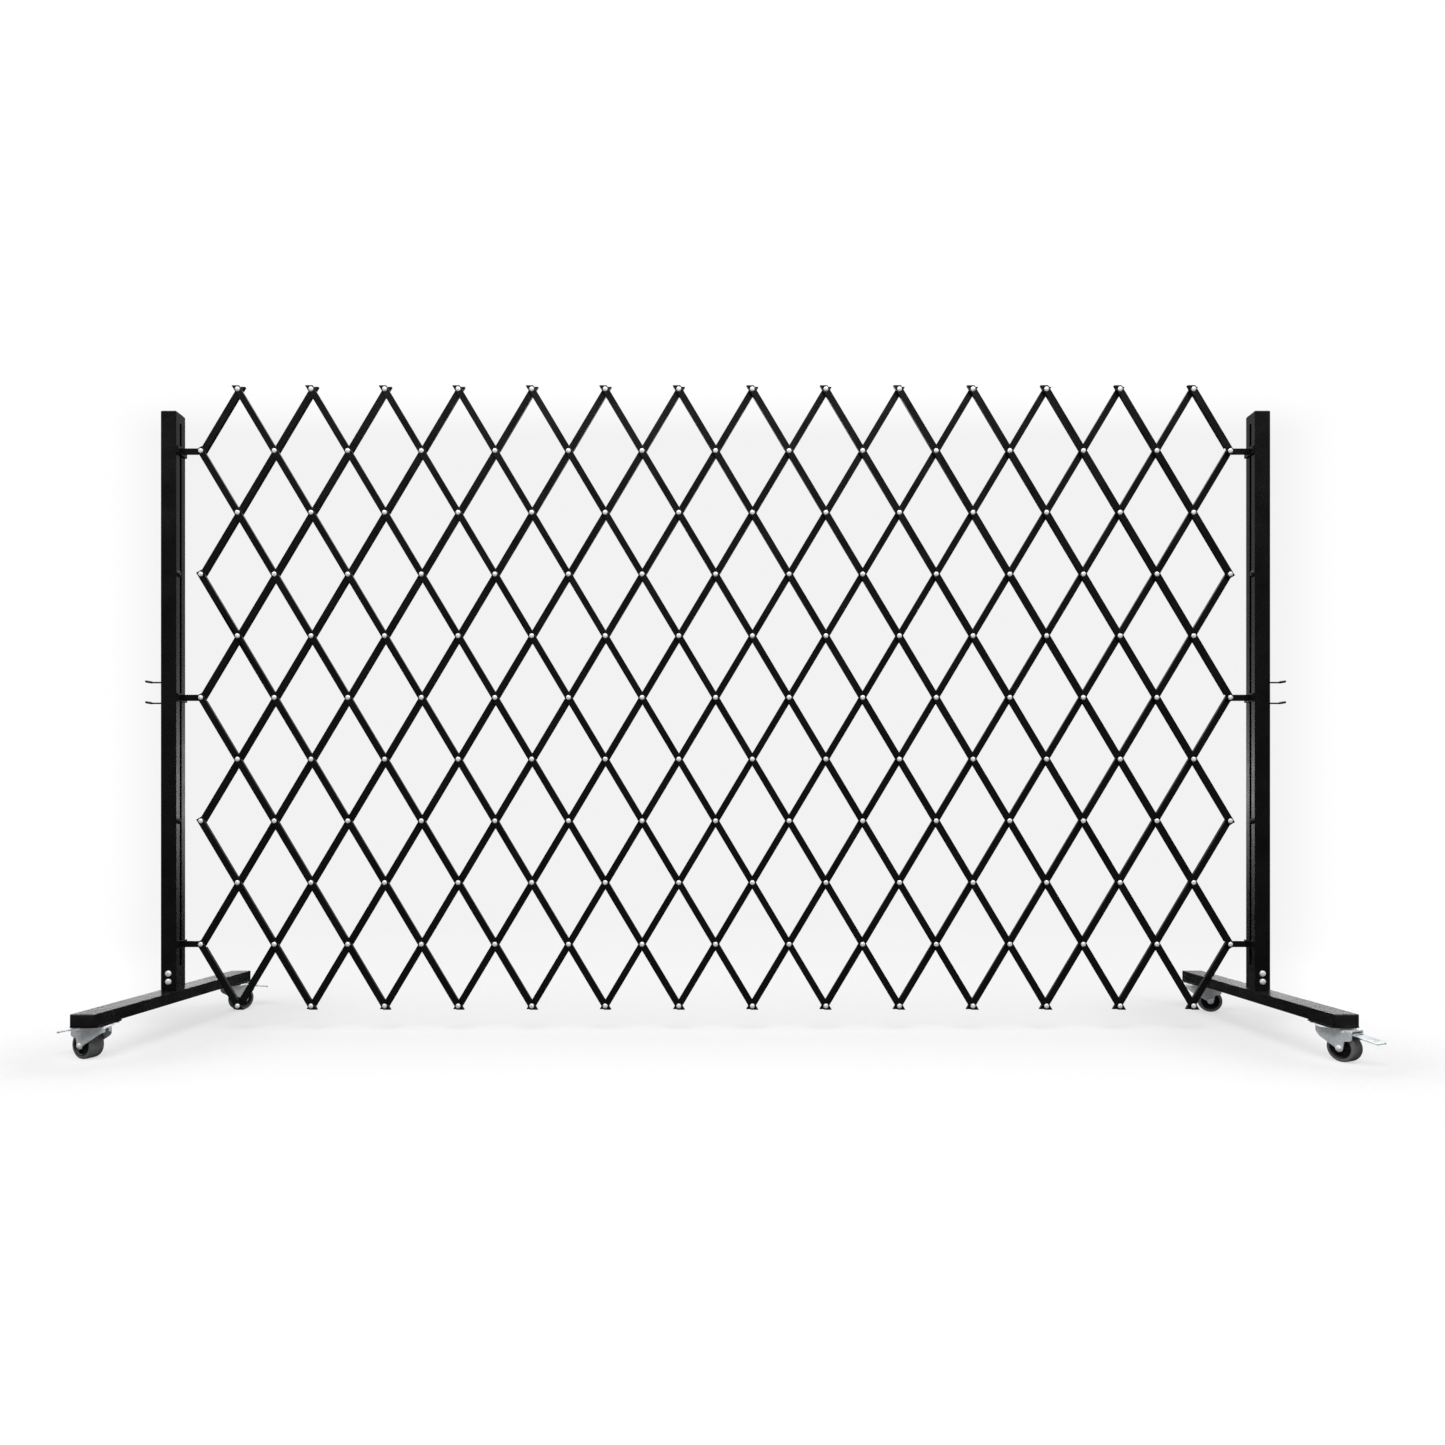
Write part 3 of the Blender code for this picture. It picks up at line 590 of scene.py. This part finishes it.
# %% Wheel core
WHEEL_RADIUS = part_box("front_left_wheel")[1][2] / 2 / MM
HALF_WHEEL = 17
RIBS_IN_HALF_TURN = 3
side_profile = [(3.9, 16.9), (8.6, 16.9), (9.2, 16.3), (10.4, 12.4)]
side_profile += [(20.0, 11.4), (21.6, 15.2), (22.4, 15.9), (24.8, 15.9)]
core = turn_piece("core", both_sides(side_profile), steps=40)
rib_ends = (9 * MM, -14.6 * MM, -0.9 * MM), (21.4 * MM, 14.6 * MM, 0.9 * MM)
rib = slab("rib", *rib_ends, CORE, round_mm=0.4, segments=2)
angles = [step * pi / RIBS_IN_HALF_TURN for step in range(2 * RIBS_IN_HALF_TURN)]
ribs = [copy_of(rib, "rib", Matrix.Rotation(angle, 4, "Y")) for angle in angles]
discard(rib)
core = joined([core] + ribs, "core")
settle(core, "core", in_mm(TRAIL, 0, AXLE_HEIGHT))
to_casters(core, "wheel_core", CORE, "wheel", replaced=True)

# %% Tread
EDGE, SHOULDER = WHEEL_RADIUS, HALF_WHEEL - 0.8
GROOVE = EDGE - 0.6
tread_side = [(24.4, SHOULDER), (28.4, SHOULDER), (30.6, SHOULDER - 1.2)]
tread_side += [(EDGE - 0.3, SHOULDER - 3.6), (EDGE, SHOULDER - 6.6)]
tread_side += [(EDGE, 6.9), (GROOVE, 6.6), (GROOVE, 6.0), (EDGE, 5.7)]
tread = turn_piece("tread", both_sides(tread_side), steps=56)
settle(tread, "tread", in_mm(TRAIL, 0, AXLE_HEIGHT))
to_casters(tread, "wheel_tread", TREAD, "wheel")
print("wheels", len(CASTERS), "radius", round(WHEEL_RADIUS, 2))

# %% [markdown]
# ### Forks
#
# A fork is pressed from one sheet. Seen from above it is a box with a round front; seen from
# the side each leg is broad under the crown and tapers to the axle's eye. A grid is laid out in
# that shape, station by station along the trail, and then given the sheet's thickness.

# %% Sheets formed from a grid
def formed_sheet(name, columns, rows, place, thickness_mm, round_mm):
    """A grid whose points a formula places, thickened inwards, with its cut edges rounded."""
    deselect()
    bpy.ops.mesh.primitive_grid_add(x_subdivisions=columns, y_subdivisions=rows, size=1)
    piece = bpy.context.object
    for point in piece.data.vertices:
        column, row = round((point.co.x + 0.5) * columns), round((point.co.y + 0.5) * rows)
        point.co = Vector(place(column, row)) * MM
    thick = piece.modifiers.new("thick", "SOLIDIFY")
    thick.thickness = thickness_mm * MM
    thick.offset = -1
    thick.use_even_offset = True
    edge = piece.modifiers.new("edge", "BEVEL")
    edge.width = round_mm * MM
    edge.segments = 2
    edge.limit_method = "ANGLE"
    edge.angle_limit = radians(50)
    for step in ("thick", "edge"):
        bpy.ops.object.modifier_apply(modifier=step)
    bpy.ops.object.shade_smooth_by_angle(angle=radians(40))
    piece.name = name
    return piece


# %% [markdown]
# The stations are distances from the king pin. They are close together where the outline turns:
# at the round front, round the axle's eye and at the rear end. The leg's lower edge runs
# straight from point to point, and follows a circle round the eye.

# %% Fork stations and lower edge
FORK_FRONT, FORK_REAR = -36, 54
EYE = 8.5
EYE_STEPS = 8
eye_stations = [TRAIL - EYE * cos(pi * step / EYE_STEPS) for step in range(EYE_STEPS + 1)]
stations = [FORK_FRONT, -35.2, -33.5, -31, -28, -24, -19, -14, -7, 0, 6, 12, *eye_stations]
stations += [35.6, 37.2, 41, 46, 50, 52.5, FORK_REAR]
front_low, waist, rear_waist = (FORK_FRONT, 65), (-17.4, 51), (37.2, 48.5)
rear_low, rear_end = (50, 51), (FORK_REAR, 55)


def between(x, start, end):
    """Height on the straight line through two (x, height) points."""
    return start[1] + (end[1] - start[1]) * (x - start[0]) / (end[0] - start[0])


def leg_bottom(x):
    if x < waist[0]:
        return between(x, front_low, waist)
    if x < TRAIL - EYE:
        return between(x, waist, (TRAIL - EYE, AXLE_HEIGHT))
    if x <= TRAIL + EYE:
        return AXLE_HEIGHT - max(EYE**2 - (x - TRAIL) ** 2, 0) ** 0.5
    if x < rear_waist[0]:
        return between(x, (TRAIL + EYE, AXLE_HEIGHT), rear_waist)
    if x < rear_low[0]:
        return between(x, rear_waist, rear_low)
    return between(x, rear_low, rear_end)


print("fork stations", len(stations))

# %% [markdown]
# Across the fork, a row of points climbs one leg, turns over the bend, crosses the crown and
# comes down the other side. The round front narrows the row ahead of the king pin.

# %% Fork
FORK_HALF = 20.8
ROUND_START, ROUND_LENGTH = -13, 23.7
SHEET = 2.4
BEND, MOST_BEND_SHARE = 4.0, 0.8
LEG_STEPS, BEND_STEPS, CROWN_STEPS = 6, 4, 4


def half_width(x):
    if x > ROUND_START:
        return FORK_HALF
    return FORK_HALF * max(1 - ((ROUND_START - x) / ROUND_LENGTH) ** 2, 0) ** 0.5


def fork_point(column, row):
    x = stations[column]
    wide, low = half_width(x), leg_bottom(x)
    bend = min(BEND, wide * MOST_BEND_SHARE)
    half_rows = LEG_STEPS + BEND_STEPS + CROWN_STEPS // 2
    side = -1 if row <= half_rows else 1
    step = min(row, 2 * half_rows - row)
    if step <= LEG_STEPS:
        return x, side * wide, low + (CROWN_TOP - bend - low) * step / LEG_STEPS
    if step <= LEG_STEPS + BEND_STEPS:
        turn = pi / 2 * (step - LEG_STEPS) / BEND_STEPS
        return x, side * (wide - bend * (1 - cos(turn))), CROWN_TOP - bend * (1 - sin(turn))
    share = (half_rows - step) / (half_rows - LEG_STEPS - BEND_STEPS)
    return x, side * (wide - bend) * share, CROWN_TOP


fork_rows = 2 * LEG_STEPS + 2 * BEND_STEPS + CROWN_STEPS
fork = formed_sheet("fork", len(stations) - 1, fork_rows, fork_point, SHEET, round_mm=0.5)
to_casters(fork, "fork_shell", ZINC, "fork", replaced=True)
print("forks", len(CASTERS))

# %% [markdown]
# A bright pressed ring lies on the crown and covers the ball race. Its rim slopes, so it
# catches a line of light all round, just below the foot.

# %% Race covers
cover_profile = [(24.6, 74.9), (34.6, 74.9), (35.2, 75.5), (34.9, 76.4), (34.0, 77.4), (32.6, 78.1)]
cover_profile += [(31.4, 78.2), (30.8, 77.6), (30.4, 76.4), (24.6, 76.2)]
upright = Matrix.Rotation(pi / 2, 4, "X")
cover = turn_piece("cover", cover_profile, steps=48, smooth_angle=50)
settle(cover, "cover", upright)
to_casters(cover, "race_cover", RIVET, "fork")
print("race covers", len(CASTERS))

# %% [markdown]
# The axle is a rivet through both legs, with a domed head outside each of them.

# %% Axles and their heads
axle_side = [(0, -25.6), (2.4, -25.4), (4.9, -24.3), (6.2, -22.6), (6.4, -20.9), (3.5, -20.9)]
axle_pin = turn_piece("axle", both_sides(axle_side), steps=20)
settle(axle_pin, "axle", in_mm(TRAIL, 0, AXLE_HEIGHT))
to_casters(axle_pin, "axle", RIVET, "fork")
print("axles", len(CASTERS))

# %% [markdown]
# ### Brake pedals
#
# A pressed tongue runs from the pivot between the legs to a broader foot pad, which has turned
# down sides and three grip ridges. Under it a rubber block presses on the tread. The plate is
# another formed sheet: its rows run along it, and the outer ones drop to make the sides.

# %% The pedal's grid
PEDAL_LENGTH = 73
PAD_START, PAD_FULL = 30, 41
PAD_CORNER = 9
TONGUE_HALF, PAD_HALF = 16.9, 20
SIDE_DROP, NOSE_DROP, NOSE = 3.2, 1.4, 5
PEDAL_SLOPE = 11.5 / 71
PEDAL_THICK = 2.2
pedal_stations = [-1, 4, 10, 16, 22, 27, 30, 33, 37, 41, 46, 52, 58, 63, 66, 68.5, 70.5, 72]
pedal_stations.append(PEDAL_LENGTH)
PEDAL_ROWS = 10
row_shares = [1, 1, 0.985, 0.9, 0.5, 0, -0.5, -0.9, -0.985, -1, -1]
row_drops = [1, 0.45, 0.1, 0, 0, 0, 0, 0, 0.1, 0.45, 1]


def smooth_step(x, start, end):
    share = min(max((x - start) / (end - start), 0), 1)
    return share * share * (3 - 2 * share)


def pedal_point(column, row):
    x = pedal_stations[column]
    wide = TONGUE_HALF + (PAD_HALF - TONGUE_HALF) * smooth_step(x, PAD_START, PAD_FULL)
    into_corner = max(x - PEDAL_LENGTH + PAD_CORNER, 0) / PAD_CORNER
    wide -= PAD_CORNER * (1 - max(1 - into_corner**2, 0) ** 0.5)
    side_drop = SIDE_DROP * smooth_step(x, PAD_START, PAD_FULL)
    nose_drop = NOSE_DROP * smooth_step(x, PEDAL_LENGTH - NOSE, PEDAL_LENGTH)
    height = PEDAL_THICK / 2 - x * PEDAL_SLOPE - side_drop * row_drops[row] - nose_drop
    return x, -row_shares[row] * wide, height


columns = len(pedal_stations) - 1
pedal = formed_sheet("pedal", columns, PEDAL_ROWS, pedal_point, PEDAL_THICK, round_mm=0.4)
print("pedal grid", columns, "by", PEDAL_ROWS)

# %% Pedal plate with its ridges
RIDGE_PLACES = (46, 53, 60)
ridge_ends = (-0.9 * MM, -12 * MM, -0.4 * MM), (0.9 * MM, 12 * MM, 1.0 * MM)
ridge = slab("ridge", *ridge_ends, ZINC, round_mm=0.5, segments=2)
sloped = Matrix.Rotation(PEDAL_SLOPE, 4, "Y")
ridges = []
for x in RIDGE_PLACES:
    ridges.append(copy_of(ridge, "ridge", in_mm(x, 0, PEDAL_THICK / 2 - x * PEDAL_SLOPE) @ sloped))
discard(ridge)
pedal = joined([pedal] + ridges, "pedal")
settle(pedal, "pedal", in_mm(PIVOT_REACH, 0, PIVOT_HEIGHT))
to_casters(pedal, "pedal_plate", ZINC, "brake_pedal", replaced=True)
print("pedal plates", len(CASTERS), "with", len(ridges), "ridges each")

# %% [markdown]
# The pedal turns on a pin with a small domed head outside each leg. The block under the tongue
# stays clear of the tread until the pedal is pressed.

# %% Pedal pins
pin_side = [(0, -22.9), (2.2, -22.7), (3.6, -21.9), (3.8, -20.9)]
pin_side += [(2.5, -20.9), (2.5, -17.0), (3.4, -17.0)]
pin = turn_piece("pin", both_sides(pin_side), steps=16)
settle(pin, "pin", in_mm(PIVOT_REACH, 0, PIVOT_HEIGHT))
to_casters(pin, "pedal_pin", RIVET, "brake_pedal")

# %% Brake blocks
block_ends = (11 * MM, -15 * MM, -6.9 * MM), (25 * MM, 15 * MM, -2.4 * MM)
block = slab("block", *block_ends, CAP, round_mm=0.9)
settle(block, "block", in_mm(PIVOT_REACH, 0, PIVOT_HEIGHT))
to_casters(block, "brake_block", CAP, "brake_pedal")
print("pins and brake blocks", len(CASTERS))

# %% [markdown]
# ### Plate nuts
#
# Four hexagonal nuts hold each caster's plate to its foot. A profile that is spun in only six
# steps gives a hexagon.

# %% Plate nuts
PLATE_UNDERSIDE = 79.1
NUT_X, NUT_Y = 23.5, 35
nut_outline = [(0, 0.1), (5.6, 0.1), (6.3, -0.5), (6.3, -2.9), (0, -2.9)]
nut_profile = [(radius, PLATE_UNDERSIDE + height) for radius, height in nut_outline]
nut = turn_piece("nut", nut_profile, steps=6, smooth_angle=20)
for caster in CASTERS:
    spot = Vector(joints[f"{caster}_swivel"]["pos_m"])
    nuts = []
    for x, y in ((-NUT_X, -NUT_Y), (-NUT_X, NUT_Y), (NUT_X, -NUT_Y), (NUT_X, NUT_Y)):
        place = Matrix.Translation((spot.x + x * MM, spot.y + y * MM, 0)) @ upright
        nuts.append(copy_of(nut, "nut", place))
    nuts = joined(nuts, f"{caster}_plate_nuts")
    dress(nuts, ZINC)
    side = caster.split("_")[1]
    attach(nuts, f"{side}_frame")
discard(nut)
print("nuts under", len(CASTERS), "plates")

# %% [markdown]
# ## Floor, light and camera
#
# The studio is a white sweep. A material can ask which kind of ray meets it, so the same room
# answers in three ways. Soft light falls on the barrier from above and behind. Mirrored rays
# meet a dark room in front, a paler wall behind, a bright ceiling and two low windows: so the
# black fronts stay deep and the feet's tops turn grey. The camera sees plain white, with a faint
# grey shade painted between the posts.
#
# Two small helpers write the arithmetic: a soft ramp, and sums of nodes and numbers.

# %% Arithmetic in nodes
def ramp(tree, source, span, low, high):
    """A value that runs smoothly from low to high while the source runs over its span."""
    values = {"From Min": span[0], "From Max": span[1], "To Min": low, "To Max": high}
    smooth = {"interpolation_type": "SMOOTHSTEP"}
    node = add_node(tree, "ShaderNodeMapRange", values, {"Value": source}, **smooth)
    return node.outputs["Result"]


def combine(tree, kind, first, second=0.0):
    """Arithmetic on two values, either of which can be a plain number."""
    values, links = {}, {}
    for place, term in enumerate((first, second)):
        (values if isinstance(term, float) else links)[place] = term
    return add_node(tree, "ShaderNodeMath", values, links, operation=kind).outputs[0]


def product(tree, first, *others):
    for other in others:
        first = combine(tree, "MULTIPLY", first, other)
    return first


# %% [markdown]
# ### Floor
#
# White paper. The camera sees it lifted to white by a little light of its own, so the
# barrier's real shadow still shows. Two things lower that lift, and both are painted shade. A
# grey shade grows towards the rear, on a fixed patch that widens from below the main camera, so
# that its sides line up with the painted shade of the sky in that view. Ambient occlusion
# measures how much of the room a spot can't see, and from it a soft shade is painted round the
# feet and casters, wherever they stand.

# %% The paper's lift
CAMERA_SPOT = Vector((0.018, -2.405, 0.505))
# Painted shade: how much the camera's white is lowered behind the barrier, first on the sky and far
# paper, then on the near floor, and the sides it spans.
BACKDROP_PAINTED_SHADE, FLOOR_PAINTED_SHADE = 0.11, 0.12
PAINTED_SHADE_SIDE = (0.585, 0.675)
FRONT_LIFT, REAR_LIFT = 0.56, 0.69
LIFT_FROM_TO, FLOOR_PAINTED_SHADE_FROM_TO = (-1.1, 1.1), (-0.65, 0.25)
SHADE, SHADE_REACH = 0.10, 0.6
SHADE_EDGE, SHADE_CORE, SHADE_SIDE = (0.955, 1.0), (0.6, 0.95), (0.95, 1.35)

paper, paper_tree, paper_shader, paper_place = new_finish("white_studio_paper")
spot = add_node(paper_tree, "ShaderNodeSeparateXYZ", links={0: paper_place}).outputs
beside = combine(paper_tree, "ABSOLUTE", spot["X"])
depth = combine(paper_tree, "SUBTRACT", spot["Y"], float(CAMERA_SPOT.y))
paper_aside = combine(paper_tree, "DIVIDE", beside, combine(paper_tree, "MAXIMUM", depth, 0.001))
# Painted shade: a faint grey taken out of the lift between the posts, growing towards the rear.
side_painted_shade = ramp(paper_tree, paper_aside, PAINTED_SHADE_SIDE, 1.0, 0.0)
depth_painted_shade = ramp(paper_tree, spot["Y"], FLOOR_PAINTED_SHADE_FROM_TO, 0.0, FLOOR_PAINTED_SHADE)
floor_painted_shade = product(paper_tree, depth_painted_shade, side_painted_shade)

# From ambient occlusion, a soft painted shade round the feet and casters.
occlusion = {"values": {"Distance": SHADE_REACH}, "samples": 16}
open_share = add_node(paper_tree, "ShaderNodeAmbientOcclusion", **occlusion).outputs["AO"]
shade = product(
    paper_tree,
    ramp(paper_tree, open_share, SHADE_EDGE, SHADE, 0.0),
    ramp(paper_tree, open_share, SHADE_CORE, 0.0, 1.0),
    ramp(paper_tree, beside, SHADE_SIDE, 0.0, 1.0),
)
lift = ramp(paper_tree, spot["Y"], LIFT_FROM_TO, FRONT_LIFT, REAR_LIFT)
lift = combine(paper_tree, "SUBTRACT", lift, floor_painted_shade)
lift = combine(paper_tree, "SUBTRACT", lift, shade)
print("lift", FRONT_LIFT, "to", REAR_LIFT)

# %% [markdown]
# Far from the barrier the paper has no light or shadow to show, so the camera sees the same
# plain tone as in the sky, with its painted shade, and the horizon doesn't show. In mirrored rays
# the paper is darker.

# %% The paper
FLOOR_SIZE = 60
FAR_PAINTED_SHADE_FROM_TO, FAR_PAPER_FROM_TO = (0.0, 1.0), (2.4, 4.2)
paper_shader.inputs["Roughness"].default_value = 0.9
paper_shader.inputs["Specular IOR Level"].default_value = 0.0
paper_shader.inputs["Emission Color"].default_value = (1, 1, 1, 1)
paper_rays = add_node(paper_tree, "ShaderNodeLightPath").outputs
seen = paper_rays["Is Camera Ray"]
mirrored = {"Factor": paper_rays["Is Glossy Ray"]}
paper_tint = add_node(paper_tree, "ShaderNodeMix", links=mirrored, data_type="RGBA")
paper_tint.inputs[6].default_value = linear("#9c9c9c")
paper_tint.inputs[7].default_value = linear("#303030")
paper_tree.links.new(paper_tint.outputs[2], paper_shader.inputs["Base Color"])
paper_tree.links.new(product(paper_tree, seen, lift), paper_shader.inputs["Emission Strength"])

distance = add_node(paper_tree, "ShaderNodeVectorMath", links={0: paper_place}, operation="LENGTH")
# The far paper carries the sky's painted shade, growing towards the rear.
far_painted_shade = ramp(paper_tree, spot["Y"], FAR_PAINTED_SHADE_FROM_TO, 0.0, BACKDROP_PAINTED_SHADE)
far_tone = combine(paper_tree, "SUBTRACT", 1.0, product(paper_tree, far_painted_shade, side_painted_shade))
far_paper = add_node(paper_tree, "ShaderNodeEmission", links={"Strength": far_tone})
far_share = ramp(paper_tree, distance.outputs["Value"], FAR_PAPER_FROM_TO, 0.0, 1.0)
links = {0: product(paper_tree, far_share, seen)}
links |= {1: paper_shader.outputs[0], 2: far_paper.outputs[0]}
both = add_node(paper_tree, "ShaderNodeMixShader", links=links)
paper_tree.links.new(both.outputs[0], paper_tree.nodes["Material Output"].inputs["Surface"])

deselect()
bpy.ops.mesh.primitive_plane_add(size=FLOOR_SIZE)
floor = bpy.context.object
floor.name = "studio_floor"
dress(floor, paper)
floor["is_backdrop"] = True
print("floor nodes", len(paper_tree.nodes))

# %% [markdown]
# ### Sky
#
# A direction has three parts: X to the right, Y away from the camera and Z up. Each wall, the
# ceiling and the windows are ramps over these parts. The windows stand low at both sides of
# the rear wall, where the feet's tops mirror them towards the camera.

# %% Soft light and mirrored room
DIM, BRIGHT = 0.10, 0.95
ROOM_Y, OVERHEAD_Z = (-0.75, 0.05), (0.35, 0.85)
MIRROR_DIM, MIRROR_REAR, MIRROR_TOP, MIRROR_WINDOW = 0.05, 0.40, 3.4, 10.0
REAR_WALL_Y, CEILING_Z = (-0.2, 0.45), (0.48, 0.70)
HORIZON_Z, BELOW_HORIZON = (-0.03, 0.02), 0.06
WINDOW_INNER_X, WINDOW_OUTER_X = (0.42, 0.50), (0.60, 0.68)
WINDOW_LOW_Z, WINDOW_HIGH_Z, WINDOW_Y = (-0.01, 0.05), (0.02, 0.105), (0.0, 0.3)

world = bpy.data.worlds.new("studio_sky")
bpy.context.scene.world = world
world.use_nodes = True
sky = world.node_tree
toward = add_node(sky, "ShaderNodeTexCoord").outputs["Generated"]
parts = add_node(sky, "ShaderNodeSeparateXYZ", links={0: toward}).outputs
room = ramp(sky, parts["Y"], ROOM_Y, DIM, BRIGHT)
overhead = ramp(sky, parts["Z"], OVERHEAD_Z, 0.0, BRIGHT)
soft_light = combine(sky, "MAXIMUM", room, overhead)

slant = combine(sky, "ABSOLUTE", parts["X"])
window = product(
    sky,
    ramp(sky, slant, WINDOW_INNER_X, 0.0, MIRROR_WINDOW),
    ramp(sky, slant, WINDOW_OUTER_X, 1.0, 0.0),
    ramp(sky, parts["Z"], WINDOW_LOW_Z, 0.0, 1.0),
    ramp(sky, parts["Z"], WINDOW_HIGH_Z, 1.0, 0.0),
    ramp(sky, parts["Y"], WINDOW_Y, 0.0, 1.0),
)
rear_wall = ramp(sky, parts["Y"], REAR_WALL_Y, MIRROR_DIM, MIRROR_REAR)
rear_wall = product(sky, rear_wall, ramp(sky, parts["Z"], HORIZON_Z, BELOW_HORIZON, 1.0))
wall_light = combine(sky, "ADD", rear_wall, window)
ceiling = ramp(sky, parts["Z"], CEILING_Z, 0.0, MIRROR_TOP)
mirror_light = combine(sky, "MAXIMUM", wall_light, ceiling)
print("sky", DIM, "to", BRIGHT, "and in mirrors", MIRROR_DIM, "to", MIRROR_WINDOW)

# %% [markdown]
# The painted shade is a faint grey lowered into the camera's white, on a soft box of directions
# ahead of the camera: x over y gives how far a direction leans to the side, and z over y how far it
# rises.

# %% What the camera sees behind the barrier
PAINTED_SHADE_TOP = (0.43, 0.485)
ahead = combine(sky, "MAXIMUM", parts["Y"], 0.001)
aside = combine(sky, "ABSOLUTE", combine(sky, "DIVIDE", parts["X"], ahead))
rise = combine(sky, "DIVIDE", parts["Z"], ahead)
# Painted shade: the camera's white is lowered to a faint grey in this box behind the barrier.
inside = ramp(sky, aside, PAINTED_SHADE_SIDE, 1.0, 0.0)
below = ramp(sky, rise, PAINTED_SHADE_TOP, 1.0, 0.0)
# The camera's white with the painted shade taken out.
white = combine(sky, "SUBTRACT", 1.0, product(sky, inside, below, BACKDROP_PAINTED_SHADE))
rays = add_node(sky, "ShaderNodeLightPath").outputs
links = {0: rays["Is Glossy Ray"], 2: soft_light, 3: mirror_light}
unseen = add_node(sky, "ShaderNodeMix", links=links, data_type="FLOAT").outputs[0]
links = {0: rays["Is Camera Ray"], 2: unseen, 3: white}
choose = add_node(sky, "ShaderNodeMix", links=links, data_type="FLOAT")
background = sky.nodes["Background"]
background.inputs["Color"].default_value = (1, 1, 1, 1)
sky.links.new(choose.outputs[0], background.inputs["Strength"])
print("sky nodes", len(sky.nodes))

# %% [markdown]
# ### Lamp and camera
#
# One large softbox hangs high in front. It is hidden from mirrored rays, because it would
# leave a grey streak on the top middle bars.

# %% Lamp
def lamp(name, place, aim, size, watts):
    """A flat lamp that faces a point."""
    deselect()
    bpy.ops.object.light_add(type="AREA", location=place)
    light = bpy.context.object
    light.name = name
    light.data.shape = "RECTANGLE"
    light.data.size, light.data.size_y = size
    light.data.energy = watts
    light.rotation_euler = (Vector(aim) - Vector(place)).to_track_quat("-Z", "Y").to_euler()
    return light


softbox_place, softbox_aim = (0, -3.0, 3.8), (0, 0, 0.6)
key_softbox = lamp("key_softbox", softbox_place, softbox_aim, size=(4.2, 2.0), watts=165)
key_softbox.visible_glossy = False
print("softbox", key_softbox.data.energy, "W")

# %% [markdown]
# The camera stands level, as the photo's upright posts say. Its lens is shifted up instead of
# tilted, so the posts stay parallel. "Standard" shows each colour as it is written.

# %% Camera
camera_data = bpy.data.cameras.new("studio_camera")
camera = bpy.data.objects.new("studio_camera", camera_data)
bpy.context.collection.objects.link(camera)
SENSOR_MM, LENS_MM, SHIFT = 36, 23.04, 0.0796
camera_data.sensor_width = SENSOR_MM
camera_data.lens = LENS_MM
camera_data.shift_y = SHIFT
camera.location = CAMERA_SPOT
camera.rotation_euler = (pi / 2, 0, 0)
bpy.context.scene.camera = camera
bpy.context.scene.view_settings.view_transform = "Standard"
print("camera at", [round(value, 3) for value in camera.location])

# %% Sizes
low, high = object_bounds()
print("visual size", [round(b - a, 4) for a, b in zip(low, high)])
